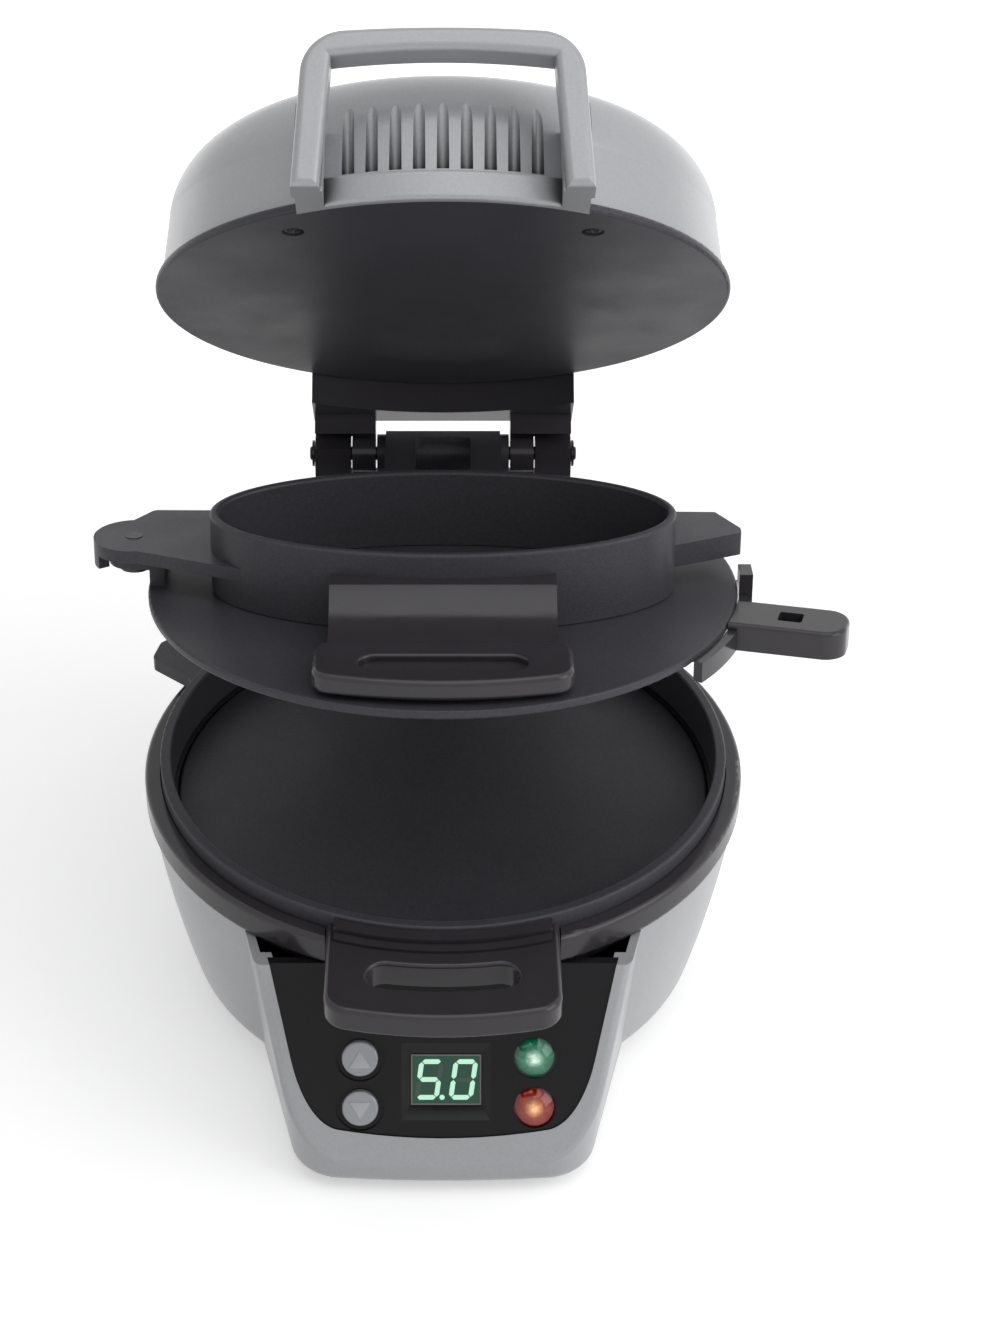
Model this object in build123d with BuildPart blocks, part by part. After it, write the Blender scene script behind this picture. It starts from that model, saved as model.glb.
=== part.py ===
from build123d import *
import os
from math import atan2, cos, degrees, pi, radians, sin, sqrt, tan

"""Breakfast sandwich maker: a round lower griddle with a lift-out ring, an egg ring with a swing-out
cooking plate, and a heated lid, all hung on one floating hinge at the back. Millimetres.

Frame: +X right, +Y to the hinge, +Z up, origin on the table under the middle of the whole footprint.
Every piece is modelled about the round body's axis with the maker closed, and is moved to its place
when it is written."""

# ---- driving dimensions -------------------------------------------------------------------------
# fits and gaps
pin_fit = 0.05  # radial running clearance of a pin in its bore
press = 0.02  # radial room of a pin held in its own body
slide_fit = 0.15  # each side of a sliding stem, and of a button in its hole
near = 0.4  # between bodies that close on each other
seam = 0.1  # between faces of pieces fixed together

# round body's axis, from the middle of the whole footprint
body_axis_x = -7.8
body_axis_y = -0.9

# raised pose
lift = 46.0  # hinge raised in its tower
tray_tilt = 10.0  # egg ring, degrees up from closed
lid_angle = 47.0  # lid, degrees up from closed

# overall size
ring_bore_radius = 95.0  # takes an eight-inch tortilla
body_height = 71.0  # bowl, from its bottom edge to the rim

# screws
screw_radius = 1.6
boss_radius = 4.5
small_head_radius = 2.4

# lower ring
ring_wall = 3.8
ring_height = 16.7
ear_angle = 149.0  # degrees from +X
ear_length = 22.2
ear_width = 19.0
ear_thickness = 5.0
ring_handle_width = 76.0
ring_handle_length = 38.7
ring_handle_thickness = 9.0
ring_handle_drop = 4.0  # its top below the ring's
ring_handle_corner = 9.0
ring_handle_round = 2.0
ring_handle_slot = (49.0, 11.5)
ring_handle_slot_out = 19.7  # middle of the slot beyond the ring
ring_tongue = (40.0, 10.0, 3.0)

# base
foot_height = 4.0
foot_radius = 8.0
foot_stem_radius = 3.0
body_overhang = 1.5  # rim beyond the bowl's top
body_waist = 5.5  # bowl's middle inside its top
body_taper = 14.5  # bowl's bottom inside its top
body_bottom_round = 13.0
shell_wall = 2.4
rim_step = 5.7  # rim beyond the lower ring
rim_height = 11.0
rim_round = 2.0
rim_neck_wall = 1.2
rim_neck_room = 0.4
rim_lip_thickness = 2.4
shelf_width = 4.0  # under the griddle's edge
shelf_thickness = 2.5
heater_room = 1.8  # griddle inside the ring's bore
heater_thickness = 5.0
pan_thickness = 1.2
floor_ledge = 8.0
nose_floor_inset = 6.0
boss_height = 12.0

# heaters
element_tube_radius = 3.3
element_inset = 35.0  # heater tube inside the ring's bore
element_gap_angle = 40.0
reflector_sheet = 0.8
reflector_drop = 13.0
reflector_rim = 4.4
plate_boss_radius = 36.0
thermostat_radius = 6.5
fuse_radius = 2.2
fuse_y = -24.0

# cooking plate and its handle
plate_overhang = 0.2  # plate beyond the lower ring
plate_thickness = 3.0
plate_handle_angle = -15.0
plate_handle_length = 38.0
plate_handle_width = 20.0
plate_handle_thickness = 9.4
plate_screw_out = 8.5
pivot_out = 5.0  # pivot beyond the plate's edge
pivot_y = 5.0
pivot_pin_radius = 3.0
lug_radius = 8.5
lobe_radius = 13.6
lug_thickness = 4.2

# egg ring
egg_half_length = 77.5
egg_half_width = 37.4
egg_centre_y = -4.0
egg_ring_height = 27.0
egg_wall = 3.0
egg_rim_round = 1.1
wing_thickness = 4.5
right_wing_thickness = 8.0
egg_grip_width = 82.0
egg_grip_length = 31.0
egg_grip_out = 54.6  # its front edge beyond the oval
egg_grip_thickness = 7.0
egg_ramp_width = 73.0
egg_trough = (53.0, 11.0, 2.4)  # length, width, depth

# hinge
hinge_back = 7.7  # rod behind the lower ring
hinge_above_ring = 8.0
rod_radius = 2.5
barrel_radius = 7.0
barrel_half_length = 24.2
tongue_width = 8.6
arm_outer_x = 47.0
arm_gap = 0.5
block_swing_radius = 8.2
stem_width = 30.0
stem_thickness = 11.0
stem_below_hinge = 86.0
crossbar_height = 14.0
crossbar_below_hinge = 12.0
tower_width = 52.0
tower_depth = 15.5  # behind the rod
stop_pin_radius = 3.0
bracket_width = 42.0
bracket_window = (20.0, 32.4)

# lid
lid_plate_inset = 2.8  # heating plate inside the lower ring
lid_plate_thickness = 3.8
lid_plate_edge = 3.0  # thickness of its rim, which the shell stands on
lid_plate_rim = 6.0
lid_wall_inset = 2.3  # shell's wall inside the plate's edge
lid_wall_height = 17.8
lid_wall_draft = 1.8
lid_shoulder_round = 27.0
lid_crown_slope = 5.0  # degrees that the crown falls at the shoulder
lid_height = 47.4
liner_thickness = 1.7
rib_count = 10
rib_pitch = 7.3
rib_crest = 2.4
groove_round = 1.8  # radius of the bottom between two ribs
rib_depth = 3.6
rib_foot = 5.0  # plain wall below the ribs
lid_handle_width = 85.0
lid_handle_leg = 8.6
lid_handle_splay = 3.4  # each foot beyond the bar
lid_handle_depth = 13.0
lid_handle_reach = 16.3  # beyond the lid's wall
lid_handle_height = 50.0
lid_handle_bar = 7.6
lid_handle_bow = 2.0
lid_handle_corner = 14.0
lid_handle_round = 2.4
lid_handle_foot_height = 22.0
lid_apron_height = 9.5
lid_apron_drop = 1.2  # below the heating plate
lid_apron_thickness = 2.8

# nose and control panel
nose_reach = 24.4  # beyond the bowl's top
nose_half_width = 47.5
nose_root_half_width = 65.0
nose_root_y = -50.0
nose_flare = 6.0  # degrees that its sides lean out, as the bowl does
nose_foot_round = 5.0
nose_corner = 17.0
nose_bow = 2.5
panel_top_inset = 5.5
panel_low_inset = 0.4
panel_low_z = 16.0
panel_border = 4.0
panel_ledge = 1.6
panel_thickness = 2.6
panel_recess = 0.8
button_radius = 6.0
button_recess_radius = 8.0
button_recess_depth = 1.0
button_stand = 1.4
button_flange = 1.2
button_x = -27.3
lens_radius = 6.9
lens_rise = 3.2
lens_x = 30.2
row_spacing = 16.9
row_centre = 25.8  # middle of the controls, up the slope from the panel's low edge
window_size = (23.3, 17.3)
bezel_size = (29.3, 26.3)
display_x = 1.0
display_rise = 0.4
board_depth = 9.4
board_thickness = 1.6
led_radius = 2.4
led_stem = 2.5

# cord's sleeve
cord_angle = 118.0
cord_z = 24.0
cord_lean = 13.0
cord_bush_radius = 6.0
cord_hole_radius = 3.1

# ---- levels and places worked out from them --------------------------------------------------------
ring_radius = ring_bore_radius + ring_wall
rim_radius = ring_radius + rim_step
neck_radius = ring_radius + rim_neck_room
heater_radius = ring_bore_radius - heater_room
body_top_radius = rim_radius - body_overhang
body_middle_radius = body_top_radius - body_waist
body_bottom_radius = body_top_radius - body_taper
plate_radius = ring_radius + plate_overhang
element_radius = ring_bore_radius - element_inset
lid_plate_radius = ring_radius - lid_plate_inset
lid_wall_radius = lid_plate_radius - lid_wall_inset
pan_radius = body_bottom_radius - body_bottom_round - 1.5
reflector_floor_radius = element_radius + 12.0
upper_reflector_radius = element_radius + 14.6

hinge_y = ring_radius + hinge_back
tower_back_y = hinge_y + tower_depth
stem_front_y = hinge_y - 0.5
stem_back_y = stem_front_y + stem_thickness
pivot_x = -plate_radius - pivot_out
plate_screw_reach = plate_radius + plate_screw_out
ear_reach = ring_radius + ear_length
ring_handle_reach = ring_radius + ring_handle_length
ring_handle_slot_radius = ring_radius + ring_handle_slot_out
plate_handle_reach = plate_radius + plate_handle_length
lid_handle_front_y = -lid_wall_radius - lid_handle_reach
nose_front_y = -body_top_radius - nose_reach
panel_top_y = panel_top_inset - body_top_radius
panel_low_y = nose_front_y + panel_low_inset

body_z = foot_height
rim_z = body_z + body_height
rim_top_z = rim_z + rim_height
ring_z = rim_z + 0.3
ring_top_z = ring_z + ring_height
plate_z = ring_top_z + near
plate_top_z = plate_z + plate_thickness
egg_z = plate_top_z + near
egg_top_z = egg_z + egg_ring_height
lid_z = egg_top_z + 0.6
hinge_z = ring_top_z + hinge_above_ring
liner_z = lid_z + lid_plate_thickness + seam
lip_z = liner_z + liner_thickness
lid_foot_z = lid_z + lid_plate_edge + seam
heater_z = rim_z - heater_thickness
reflector_z = heater_z - reflector_drop
power_board_z = body_z + shell_wall + 8.0
ring_handle_z = ring_top_z - ring_handle_drop - ring_handle_thickness
ring_tongue_z = ring_handle_z + 3.0
block_inner_x = barrel_half_length + arm_gap + tongue_width + arm_gap

screw_reach = pan_radius - floor_ledge / 2
screw_places = [
    (screw_reach * cos(radians(angle)), screw_reach * sin(radians(angle))) for angle in (68, 112, -19, 199)
]
foot_front_y = nose_front_y + 29.4
foot_reach = (pan_radius - floor_ledge - 4.5) * cos(radians(45))
foot_places = [(foot_reach, foot_reach), (-foot_reach, foot_reach), (28, foot_front_y), (-28, foot_front_y)]
tower_screw_places = [(-20.5, 28), (20.5, 28), (-20.5, 56), (20.5, 56)]
ring_screw_places = [(14, -ring_radius - 5.2), (-14, -ring_radius - 5.2)]
egg_screw_places = [(14, egg_centre_y - egg_half_width - 15.6), (-14, egg_centre_y - egg_half_width - 15.6)]
board_post_x = pan_radius / 2
board_post_places = [(side * board_post_x, y) for y in (10, -board_post_x - 1) for side in (1, -1)]
cord_reach = body_top_radius - 8.9
cord_plane = Plane(
    origin=(cord_reach * cos(radians(cord_angle)), cord_reach * sin(radians(cord_angle)), cord_z),
    z_dir=(
        cos(radians(cord_angle)) * cos(radians(cord_lean)),
        sin(radians(cord_angle)) * cos(radians(cord_lean)),
        -sin(radians(cord_lean)),
    ),
)
element_ends = [
    (element_radius * cos(radians(90 + side * element_gap_angle / 2)),
     element_radius * sin(radians(90 - element_gap_angle / 2)))
    for side in (1, -1)
]


def hung(angle):
    """Where a piece hung on the hinge goes: turned up about the hinge rod, then raised with it."""
    return Pos(0, hinge_y, hinge_z + lift) * Rot(-angle, 0, 0) * Pos(0, -hinge_y, -hinge_z)


at_base = Pos(body_axis_x, body_axis_y, 0)
at_yoke = at_base * Pos(0, 0, lift)
at_tray = at_base * hung(tray_tilt)
at_lid = at_base * hung(lid_angle)

panel_slope = degrees(atan2(panel_top_y - panel_low_y, rim_z - panel_low_z))
# x runs right and y up the slope, from the middle of the panel's low edge
panel_plane = Plane(
    origin=(0, panel_low_y, panel_low_z),
    x_dir=(1, 0, 0),
    z_dir=(0, -cos(radians(panel_slope)), sin(radians(panel_slope))),
)


def on_panel(depth):
    """The panel's plane, sunk by a depth."""
    return panel_plane.offset(-depth)


def bowl_profile(inset, low_z, high_z):
    """Half section of the bowl, for a revolve, brought in from the outside by an inset."""
    middle_z = body_z + body_height * 0.51
    with BuildLine() as outline:
        side = ThreePointArc(
            (body_bottom_radius - inset, low_z),
            (body_middle_radius - inset, middle_z),
            (body_top_radius - inset, high_z),
        )
        Polyline(side @ 1, (0, high_z), (0, low_z), side @ 0)
    return outline.line


def bowl_radius(z):
    """Outer radius of the bowl at a level."""
    with BuildLine():
        side = bowl_profile(0, body_z, rim_z).edges().filter_by(GeomType.CIRCLE)[0]
    centre = side.arc_center
    return centre.X + sqrt(side.radius**2 - (z - centre.Y) ** 2)


def nose_plan(inset, front_inset):
    """Plan of the nose seen from above, brought in from the outside by an inset."""
    half = nose_half_width - inset
    root = nose_root_half_width - inset
    front = nose_front_y + front_inset
    corner_y = front + nose_bow
    with BuildSketch() as plan:
        with BuildLine():
            Line((-root, nose_root_y), (-half, corner_y))
            ThreePointArc((-half, corner_y), (0, front), (half, corner_y))
            Line((half, corner_y), (root, nose_root_y))
            Line((root, nose_root_y), (-root, nose_root_y))
        make_face()
        fillet(plan.vertices().group_by(Axis.Y)[0], radius=nose_corner - inset)
    return plan.sketch


def oval(half_length, half_width):
    """The egg ring's oval, as a sketch at its centre."""
    with BuildSketch() as shape:
        with Locations((0, egg_centre_y)):
            Ellipse(half_length, half_width)
    return shape.sketch


# ---- base: silver bowl with its nose --------------------------------------------------------------
def in_front_of(plane, sketch_size=400, depth=200):
    """A block standing on the outer side of a plane, to cut with."""
    with BuildPart() as block:
        with BuildSketch(plane):
            Rectangle(sketch_size, sketch_size)
        extrude(amount=depth)
    return block.part


with BuildPart() as shell_cavity:
    with BuildSketch(Plane.XZ):
        with BuildLine():
            add(bowl_profile(shell_wall, body_z + shell_wall, rim_z + 1))
        make_face()
    revolve(axis=Axis.Z)
    low_edge = shell_cavity.edges().filter_by(GeomType.CIRCLE).sort_by(Axis.Z)[0]
    fillet(low_edge, radius=body_bottom_round - shell_wall)
    with BuildSketch(Plane.XY.offset(body_z + shell_wall)):
        add(nose_plan(shell_wall, shell_wall))
    extrude(amount=body_height, taper=-nose_flare)
    add(in_front_of(on_panel(panel_thickness + panel_recess + 2.2)), mode=Mode.SUBTRACT)
    with BuildSketch(Plane.XY.offset(rim_z + 1)):
        Rectangle(4 * rim_radius, 4 * rim_radius)
    extrude(amount=40, mode=Mode.SUBTRACT)
    # opening in the floor, with a step that the pan lies in
    with BuildSketch(Plane.XY.offset(body_z - 1)):
        Circle(pan_radius - floor_ledge)
        add(nose_plan(nose_floor_inset + floor_ledge, nose_floor_inset + floor_ledge))
    extrude(amount=shell_wall + 2)
    with BuildSketch(Plane.XY.offset(body_z - 1)):
        Circle(pan_radius)
        add(nose_plan(nose_floor_inset, nose_floor_inset))
    extrude(amount=pan_thickness + seam + 1)


def panel_slab(inset, plane_depth, thickness, top_z):
    """A slab parallel to the control panel, with the nose's outline brought in by an inset."""
    with BuildPart() as slab:
        with BuildSketch(Plane.XY.offset(body_z)):
            add(nose_plan(inset, inset + 1.5))
        extrude(amount=top_z - body_z, taper=-nose_flare)
        add(in_front_of(on_panel(plane_depth)), mode=Mode.SUBTRACT)
        back = on_panel(plane_depth + thickness)
        behind = Plane(origin=back.origin, x_dir=back.x_dir, z_dir=-back.z_dir)
        add(in_front_of(behind, sketch_size=600), mode=Mode.SUBTRACT)
    return slab.part


with BuildPart() as nose:
    with BuildSketch(Plane.XY.offset(body_z)):
        add(nose_plan(0, 0))
    extrude(amount=body_height, taper=-nose_flare)
    fillet(nose.faces().sort_by(Axis.Z)[0].edges(), radius=nose_foot_round)
    add(in_front_of(panel_plane), mode=Mode.SUBTRACT)
    flat_faces = nose.faces().filter_by(GeomType.PLANE)
    slope_face = flat_faces.filter_by(lambda f: abs(f.normal_at().dot(panel_plane.z_dir)) > 0.999)
    lip_edges = slope_face.edges().filter_by(lambda e: (e @ 0.5).Z < rim_z - 1)
    fillet(lip_edges, radius=3.0)

with BuildPart() as base_shell:
    with BuildSketch(Plane.XZ):
        with BuildLine():
            add(bowl_profile(0, body_z, rim_z))
        make_face()
    revolve(axis=Axis.Z)
    low_edge = base_shell.edges().filter_by(GeomType.CIRCLE).sort_by(Axis.Z)[0]
    fillet(low_edge, radius=body_bottom_round)
    add(in_front_of(panel_plane), mode=Mode.SUBTRACT)
    add(nose.part)
    add(shell_cavity.part, mode=Mode.SUBTRACT)
    # seat that the control panel lies in, and the opening behind it
    seat_depth = panel_recess + panel_thickness
    add(panel_slab(panel_border, -1, seat_depth + 1, rim_z), mode=Mode.SUBTRACT)
    add(panel_slab(panel_border + panel_ledge, -1, seat_depth + 8, rim_z), mode=Mode.SUBTRACT)
    # bosses for the floor's screws, standing on the shell's bottom lip
    with BuildSketch(Plane.XY.offset(body_z + shell_wall)):
        with Locations(*screw_places):
            Circle(boss_radius)
            Circle(screw_radius, mode=Mode.SUBTRACT)
    extrude(amount=boss_height)
    with BuildSketch(Plane.XY.offset(body_z)):
        with Locations(*screw_places):
            Circle(screw_radius)
    extrude(amount=shell_wall, mode=Mode.SUBTRACT)
    # room for the neck of the rim
    with BuildSketch(Plane.XY.offset(rim_z - rim_lip_thickness - seam)):
        Circle(neck_radius + rim_neck_wall + seam)
    extrude(amount=10, mode=Mode.SUBTRACT)
    # opening for the cord's bush, and the holes for the tower's screws
    with BuildSketch(cord_plane):
        Circle(cord_bush_radius + press)
    extrude(amount=20, both=True, mode=Mode.SUBTRACT)
    with BuildSketch(Plane(origin=(0, body_bottom_radius - 28.5, 0), x_dir=(1, 0, 0), z_dir=(0, 1, 0))):
        with Locations(*[(x, -z) for x, z in tower_screw_places]):
            Circle(screw_radius + press)
    extrude(amount=100, mode=Mode.SUBTRACT)

with BuildPart() as base_rim:
    # shelf that the griddle sits in, cut flat behind the control panel
    with BuildSketch(Plane.XZ):
        with BuildLine():
            Polyline(
                (heater_radius - shelf_width, heater_z - seam - shelf_thickness),
                (neck_radius - 1.8, heater_z - seam - shelf_thickness),
                (neck_radius - 1.8, rim_z - 0.2),
                (heater_radius + near, rim_z - 0.2),
                (heater_radius + near, heater_z - seam),
                (heater_radius - shelf_width, heater_z - seam),
                close=True,
            )
        make_face()
    revolve(axis=Axis.Z)
    add(in_front_of(on_panel(panel_recess + panel_thickness + seam)), mode=Mode.SUBTRACT)
    # neck and the wide black band
    with BuildSketch(Plane.XZ):
        with BuildLine():
            Polyline(
                (heater_radius + near, rim_z - rim_lip_thickness),
                (neck_radius + rim_neck_wall, rim_z - rim_lip_thickness),
                (neck_radius + rim_neck_wall, rim_z),
                (rim_radius, rim_z),
                (rim_radius, rim_top_z),
                (neck_radius, rim_top_z),
                (neck_radius, rim_z - 0.2),
                (heater_radius + near, rim_z - 0.2),
                close=True,
            )
        make_face()
    revolve(axis=Axis.Z)
    rim_edges = base_rim.edges().filter_by(GeomType.CIRCLE)
    fillet(rim_edges.filter_by(lambda e: abs(e.radius - rim_radius) < 0.01), radius=rim_round)
    # notch at the front that the lower ring's handle drops into
    with BuildSketch(Plane.XY.offset(ring_handle_z - near)):
        with Locations((0, -rim_radius)):
            Rectangle(ring_handle_width + 2 * near, 2 * (rim_step + 18.3))
    extrude(amount=rim_height, mode=Mode.SUBTRACT)

with BuildPart() as base_pan:
    with BuildSketch(Plane.XY.offset(body_z)):
        Circle(pan_radius - seam)
        add(nose_plan(nose_floor_inset + seam, nose_floor_inset + seam))
    extrude(amount=pan_thickness)
    with BuildSketch(Plane.XY.offset(body_z)):
        with Locations(*screw_places):
            Circle(screw_radius + press)
        with Locations(*foot_places):
            Circle(foot_stem_radius + press)
        with Locations((0, 0)):
            with PolarLocations(26, 8):
                SlotOverall(16, 3, rotation=90)
    extrude(amount=pan_thickness, mode=Mode.SUBTRACT)
    # stiffening ribs on its inside, and posts for the power board
    with BuildSketch(Plane.XY.offset(body_z + pan_thickness)):
        with Locations((0, foot_reach - 9.5), (0, -board_post_x - 21)):
            Rectangle(2 * board_post_x + 2, 1.6)
    extrude(amount=4)
    with BuildSketch(Plane.XY.offset(body_z + pan_thickness)):
        with Locations(*board_post_places):
            Circle(3)
            Circle(1, mode=Mode.SUBTRACT)
    extrude(amount=power_board_z - body_z - pan_thickness)

with BuildPart() as pan_screws:
    with BuildSketch(Plane.XY.offset(body_z - 1.6)):
        with Locations(*screw_places):
            Circle(2 * screw_radius)
    extrude(amount=1.6)
    with BuildSketch(Plane.XY.offset(body_z)):
        with Locations(*screw_places):
            Circle(screw_radius)
    extrude(amount=10)

with BuildPart() as rubber_feet:
    with BuildSketch(Plane.XY):
        with Locations(*foot_places):
            Circle(foot_radius)
    extrude(amount=foot_height)
    bottoms = rubber_feet.edges().filter_by(GeomType.CIRCLE).group_by(Axis.Z)[0]
    fillet(bottoms, radius=1.2)
    with BuildSketch(Plane.XY.offset(foot_height)):
        with Locations(*foot_places):
            Circle(foot_stem_radius)
    extrude(amount=pan_thickness + 0.1)
    with BuildSketch(Plane.XY.offset(foot_height + pan_thickness + 0.1)):
        with Locations(*foot_places):
            Circle(foot_stem_radius + 0.8)
    extrude(amount=1.6)

# ---- base: griddle and its heater --------------------------------------------------------------------
with BuildPart() as lower_heating_plate:
    with BuildSketch(Plane.XY.offset(heater_z)):
        Circle(heater_radius)
    extrude(amount=rim_z - heater_z)
    top_edge = lower_heating_plate.edges().filter_by(GeomType.CIRCLE).sort_by(Axis.Z)[-1]
    fillet(top_edge, radius=1.0)
    # groove that the heater lies in, and bosses for the reflector's screws
    with BuildSketch(Plane.XZ):
        with Locations((element_radius, heater_z)):
            Circle(element_tube_radius + seam)
    revolve(axis=Axis.Z, mode=Mode.SUBTRACT)
    with BuildSketch(Plane.XY.offset(reflector_z + reflector_sheet)):
        with PolarLocations(plate_boss_radius, 3, start_angle=30):
            Circle(boss_radius)
            Circle(screw_radius + press, mode=Mode.SUBTRACT)
    extrude(until=Until.NEXT)

with BuildPart() as lower_reflector:
    with BuildSketch(Plane.XZ):
        with BuildLine():
            Polyline(
                (0, reflector_z),
                (reflector_floor_radius, reflector_z),
                (heater_radius - 8, heater_z - reflector_sheet),
                (heater_radius - reflector_rim, heater_z - reflector_sheet),
                (heater_radius - reflector_rim, heater_z),
                (heater_radius - 8.3, heater_z),
                (reflector_floor_radius - 0.3, reflector_z + reflector_sheet),
                (0, reflector_z + reflector_sheet),
                close=True,
            )
        make_face()
    revolve(axis=Axis.Z)
    with BuildSketch(Plane.XY.offset(reflector_z)):
        with PolarLocations(plate_boss_radius, 3, start_angle=30):
            Circle(screw_radius + press)
        with Locations(*element_ends):
            Circle(element_tube_radius + 0.5)
    extrude(amount=3, mode=Mode.SUBTRACT)

with BuildPart() as lower_plate_screws:
    with BuildSketch(Plane.XY.offset(reflector_z - 1.8)):
        with PolarLocations(plate_boss_radius, 3, start_angle=30):
            Circle(2 * screw_radius)
    extrude(amount=1.8)
    with BuildSketch(Plane.XY.offset(reflector_z)):
        with PolarLocations(plate_boss_radius, 3, start_angle=30):
            Circle(screw_radius)
    extrude(amount=8)


def tube_heater(middle_z, end_z):
    """A tubular heater: most of a circle, with both cold ends turned along Z to a level."""
    start = radians(90 + element_gap_angle / 2)
    section = Plane(
        origin=(0, 0, middle_z), x_dir=(cos(start), sin(start), 0), z_dir=(sin(start), -cos(start), 0)
    )
    end_plane = Plane(origin=(0, 0, middle_z), z_dir=(0, 0, 1 if end_z > middle_z else -1))
    with BuildPart() as heater:
        with BuildSketch(section):
            with Locations((element_radius, 0)):
                Circle(element_tube_radius)
        revolve(axis=Axis.Z, revolution_arc=360 - element_gap_angle)
        with Locations(*[(x, y, middle_z) for x, y in element_ends]):
            Sphere(element_tube_radius)
        for x, y in element_ends:
            with BuildSketch(Plane(origin=(x, y, middle_z), z_dir=end_plane.z_dir)):
                Circle(element_tube_radius)
            extrude(amount=abs(end_z - middle_z))
    return heater.part


with BuildPart() as lower_heating_element:
    add(tube_heater(heater_z, reflector_z - 8))

with BuildPart() as lower_thermostat:
    with BuildSketch(Plane.XY.offset(heater_z - 7)):
        Circle(thermostat_radius)
    extrude(amount=7)
    with BuildSketch(Plane.XY.offset(heater_z - 9)):
        with Locations((-4, 0), (4, 0)):
            Rectangle(0.8, 5)
    extrude(amount=2)
    with BuildSketch(Plane.XY.offset(heater_z - 1)):
        SlotOverall(30, 9)
    extrude(amount=1)

with BuildPart() as lower_thermal_fuse:
    with BuildSketch(Plane.YZ.offset(-9)):
        with Locations((fuse_y, heater_z - fuse_radius)):
            Circle(fuse_radius)
    extrude(amount=18)
    with BuildSketch(Plane.YZ.offset(-16)):
        with Locations((fuse_y, heater_z - fuse_radius)):
            Circle(0.6)
    extrude(amount=32)

with BuildPart() as power_board:
    with BuildSketch(Plane.XY.offset(power_board_z)):
        with Locations((0, -14)):
            Rectangle(84, 58)
    extrude(amount=board_thickness)
    # transformer, relay, capacitor and terminal block on it
    for size, place, height in (
        ((26, 22), (-24, -20), 19),
        ((19, 15), (8, -24), 15),
        ((10, 26), (32, -16), 10),
    ):
        with BuildSketch(Plane.XY.offset(power_board_z + board_thickness)):
            with Locations(place):
                Rectangle(*size)
        extrude(amount=height)
    with BuildSketch(Plane.XY.offset(power_board_z + board_thickness)):
        with Locations((6, 4), (-12, 6)):
            Circle(4.5)
    extrude(amount=16)

with BuildPart() as power_board_screws:
    with BuildSketch(Plane.XY.offset(power_board_z + board_thickness)):
        with Locations(*board_post_places):
            Circle(small_head_radius)
    extrude(amount=1.6)

with BuildPart() as cord_bush:
    with BuildSketch(cord_plane.offset(-8)):
        Circle(cord_bush_radius)
    extrude(amount=9)
    with BuildSketch(cord_plane.offset(1.0)):
        Circle(cord_bush_radius + 2)
    extrude(amount=3.0)
    with BuildSketch(cord_plane.offset(4.0)):
        Circle(cord_bush_radius - 1)
    extrude(amount=9, taper=8)
    # ribs that let the sleeve bend
    with BuildSketch(cord_plane.offset(5.5)):
        Circle(cord_bush_radius)
        Circle(cord_bush_radius - 1.8, mode=Mode.SUBTRACT)
    extrude(amount=1.0, mode=Mode.SUBTRACT)
    with BuildSketch(cord_plane.offset(8.0)):
        Circle(cord_bush_radius)
        Circle(cord_bush_radius - 2.1, mode=Mode.SUBTRACT)
    extrude(amount=1.0, mode=Mode.SUBTRACT)
    with BuildSketch(cord_plane.offset(-8)):
        Circle(cord_hole_radius)
    extrude(amount=30, mode=Mode.SUBTRACT)

# ---- base: control panel --------------------------------------------------------------------------------
button_places = [(button_x, row_centre + row_spacing / 2), (button_x, row_centre - row_spacing / 2)]
lens_places = [(lens_x, row_centre + row_spacing / 2), (lens_x, row_centre - row_spacing / 2)]
display_place = (display_x, row_centre + display_rise)
panel_back = panel_recess + panel_thickness
board_boss_places = [(-10, 12.5), (10, 12.5), (-14, 46), (14, 46)]

with BuildPart() as control_panel:
    add(panel_slab(panel_border + slide_fit, panel_recess, panel_thickness, rim_z))
    # room for the rim's neck above it
    with BuildSketch(Plane.XY.offset(rim_z - rim_lip_thickness - near)):
        Circle(neck_radius + rim_neck_wall + near)
    extrude(amount=10, mode=Mode.SUBTRACT)
    with BuildSketch(on_panel(panel_recess)):
        with Locations(*button_places):
            Circle(button_recess_radius)
    extrude(amount=-button_recess_depth, mode=Mode.SUBTRACT)
    with BuildSketch(on_panel(panel_recess)):
        with Locations(*button_places):
            Circle(button_radius + slide_fit)
        with Locations(*lens_places):
            Circle(lens_radius + seam)
    extrude(amount=-panel_thickness, mode=Mode.SUBTRACT)
    # bezel: an opening whose four sides slope in to the window
    with BuildSketch(on_panel(panel_recess)):
        with Locations(display_place):
            Rectangle(*bezel_size)
    with BuildSketch(on_panel(panel_back)):
        with Locations(display_place):
            Rectangle(*window_size)
    loft(mode=Mode.SUBTRACT)
    with BuildSketch(on_panel(panel_back)):
        with Locations(*board_boss_places):
            Circle(2.6)
            Circle(0.9, mode=Mode.SUBTRACT)
    extrude(amount=-(board_depth - panel_back))

with BuildPart() as display_window:
    with BuildSketch(on_panel(panel_back)):
        with Locations(display_place):
            Rectangle(window_size[0] + 3, window_size[1] + 2.5)
    extrude(amount=-1.0)

with BuildPart() as display_module:
    with BuildSketch(on_panel(panel_back + 1.0)):
        with Locations(display_place):
            Rectangle(window_size[0] + 1, window_size[1])
    extrude(amount=-(board_depth - panel_back - 1.0))

with BuildPart() as control_board:
    add(panel_slab(panel_border + 5, board_depth, board_thickness, rim_z - 14))
    with BuildSketch(on_panel(board_depth + board_thickness)):
        with Locations((-10, 24)):
            Rectangle(14, 14)
        with Locations((14, 30)):
            Rectangle(7, 18)
    extrude(amount=-3)

with BuildPart() as board_screws:
    with BuildSketch(on_panel(board_depth + board_thickness)):
        with Locations(*board_boss_places):
            Circle(small_head_radius)
    extrude(amount=-1.4)

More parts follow.
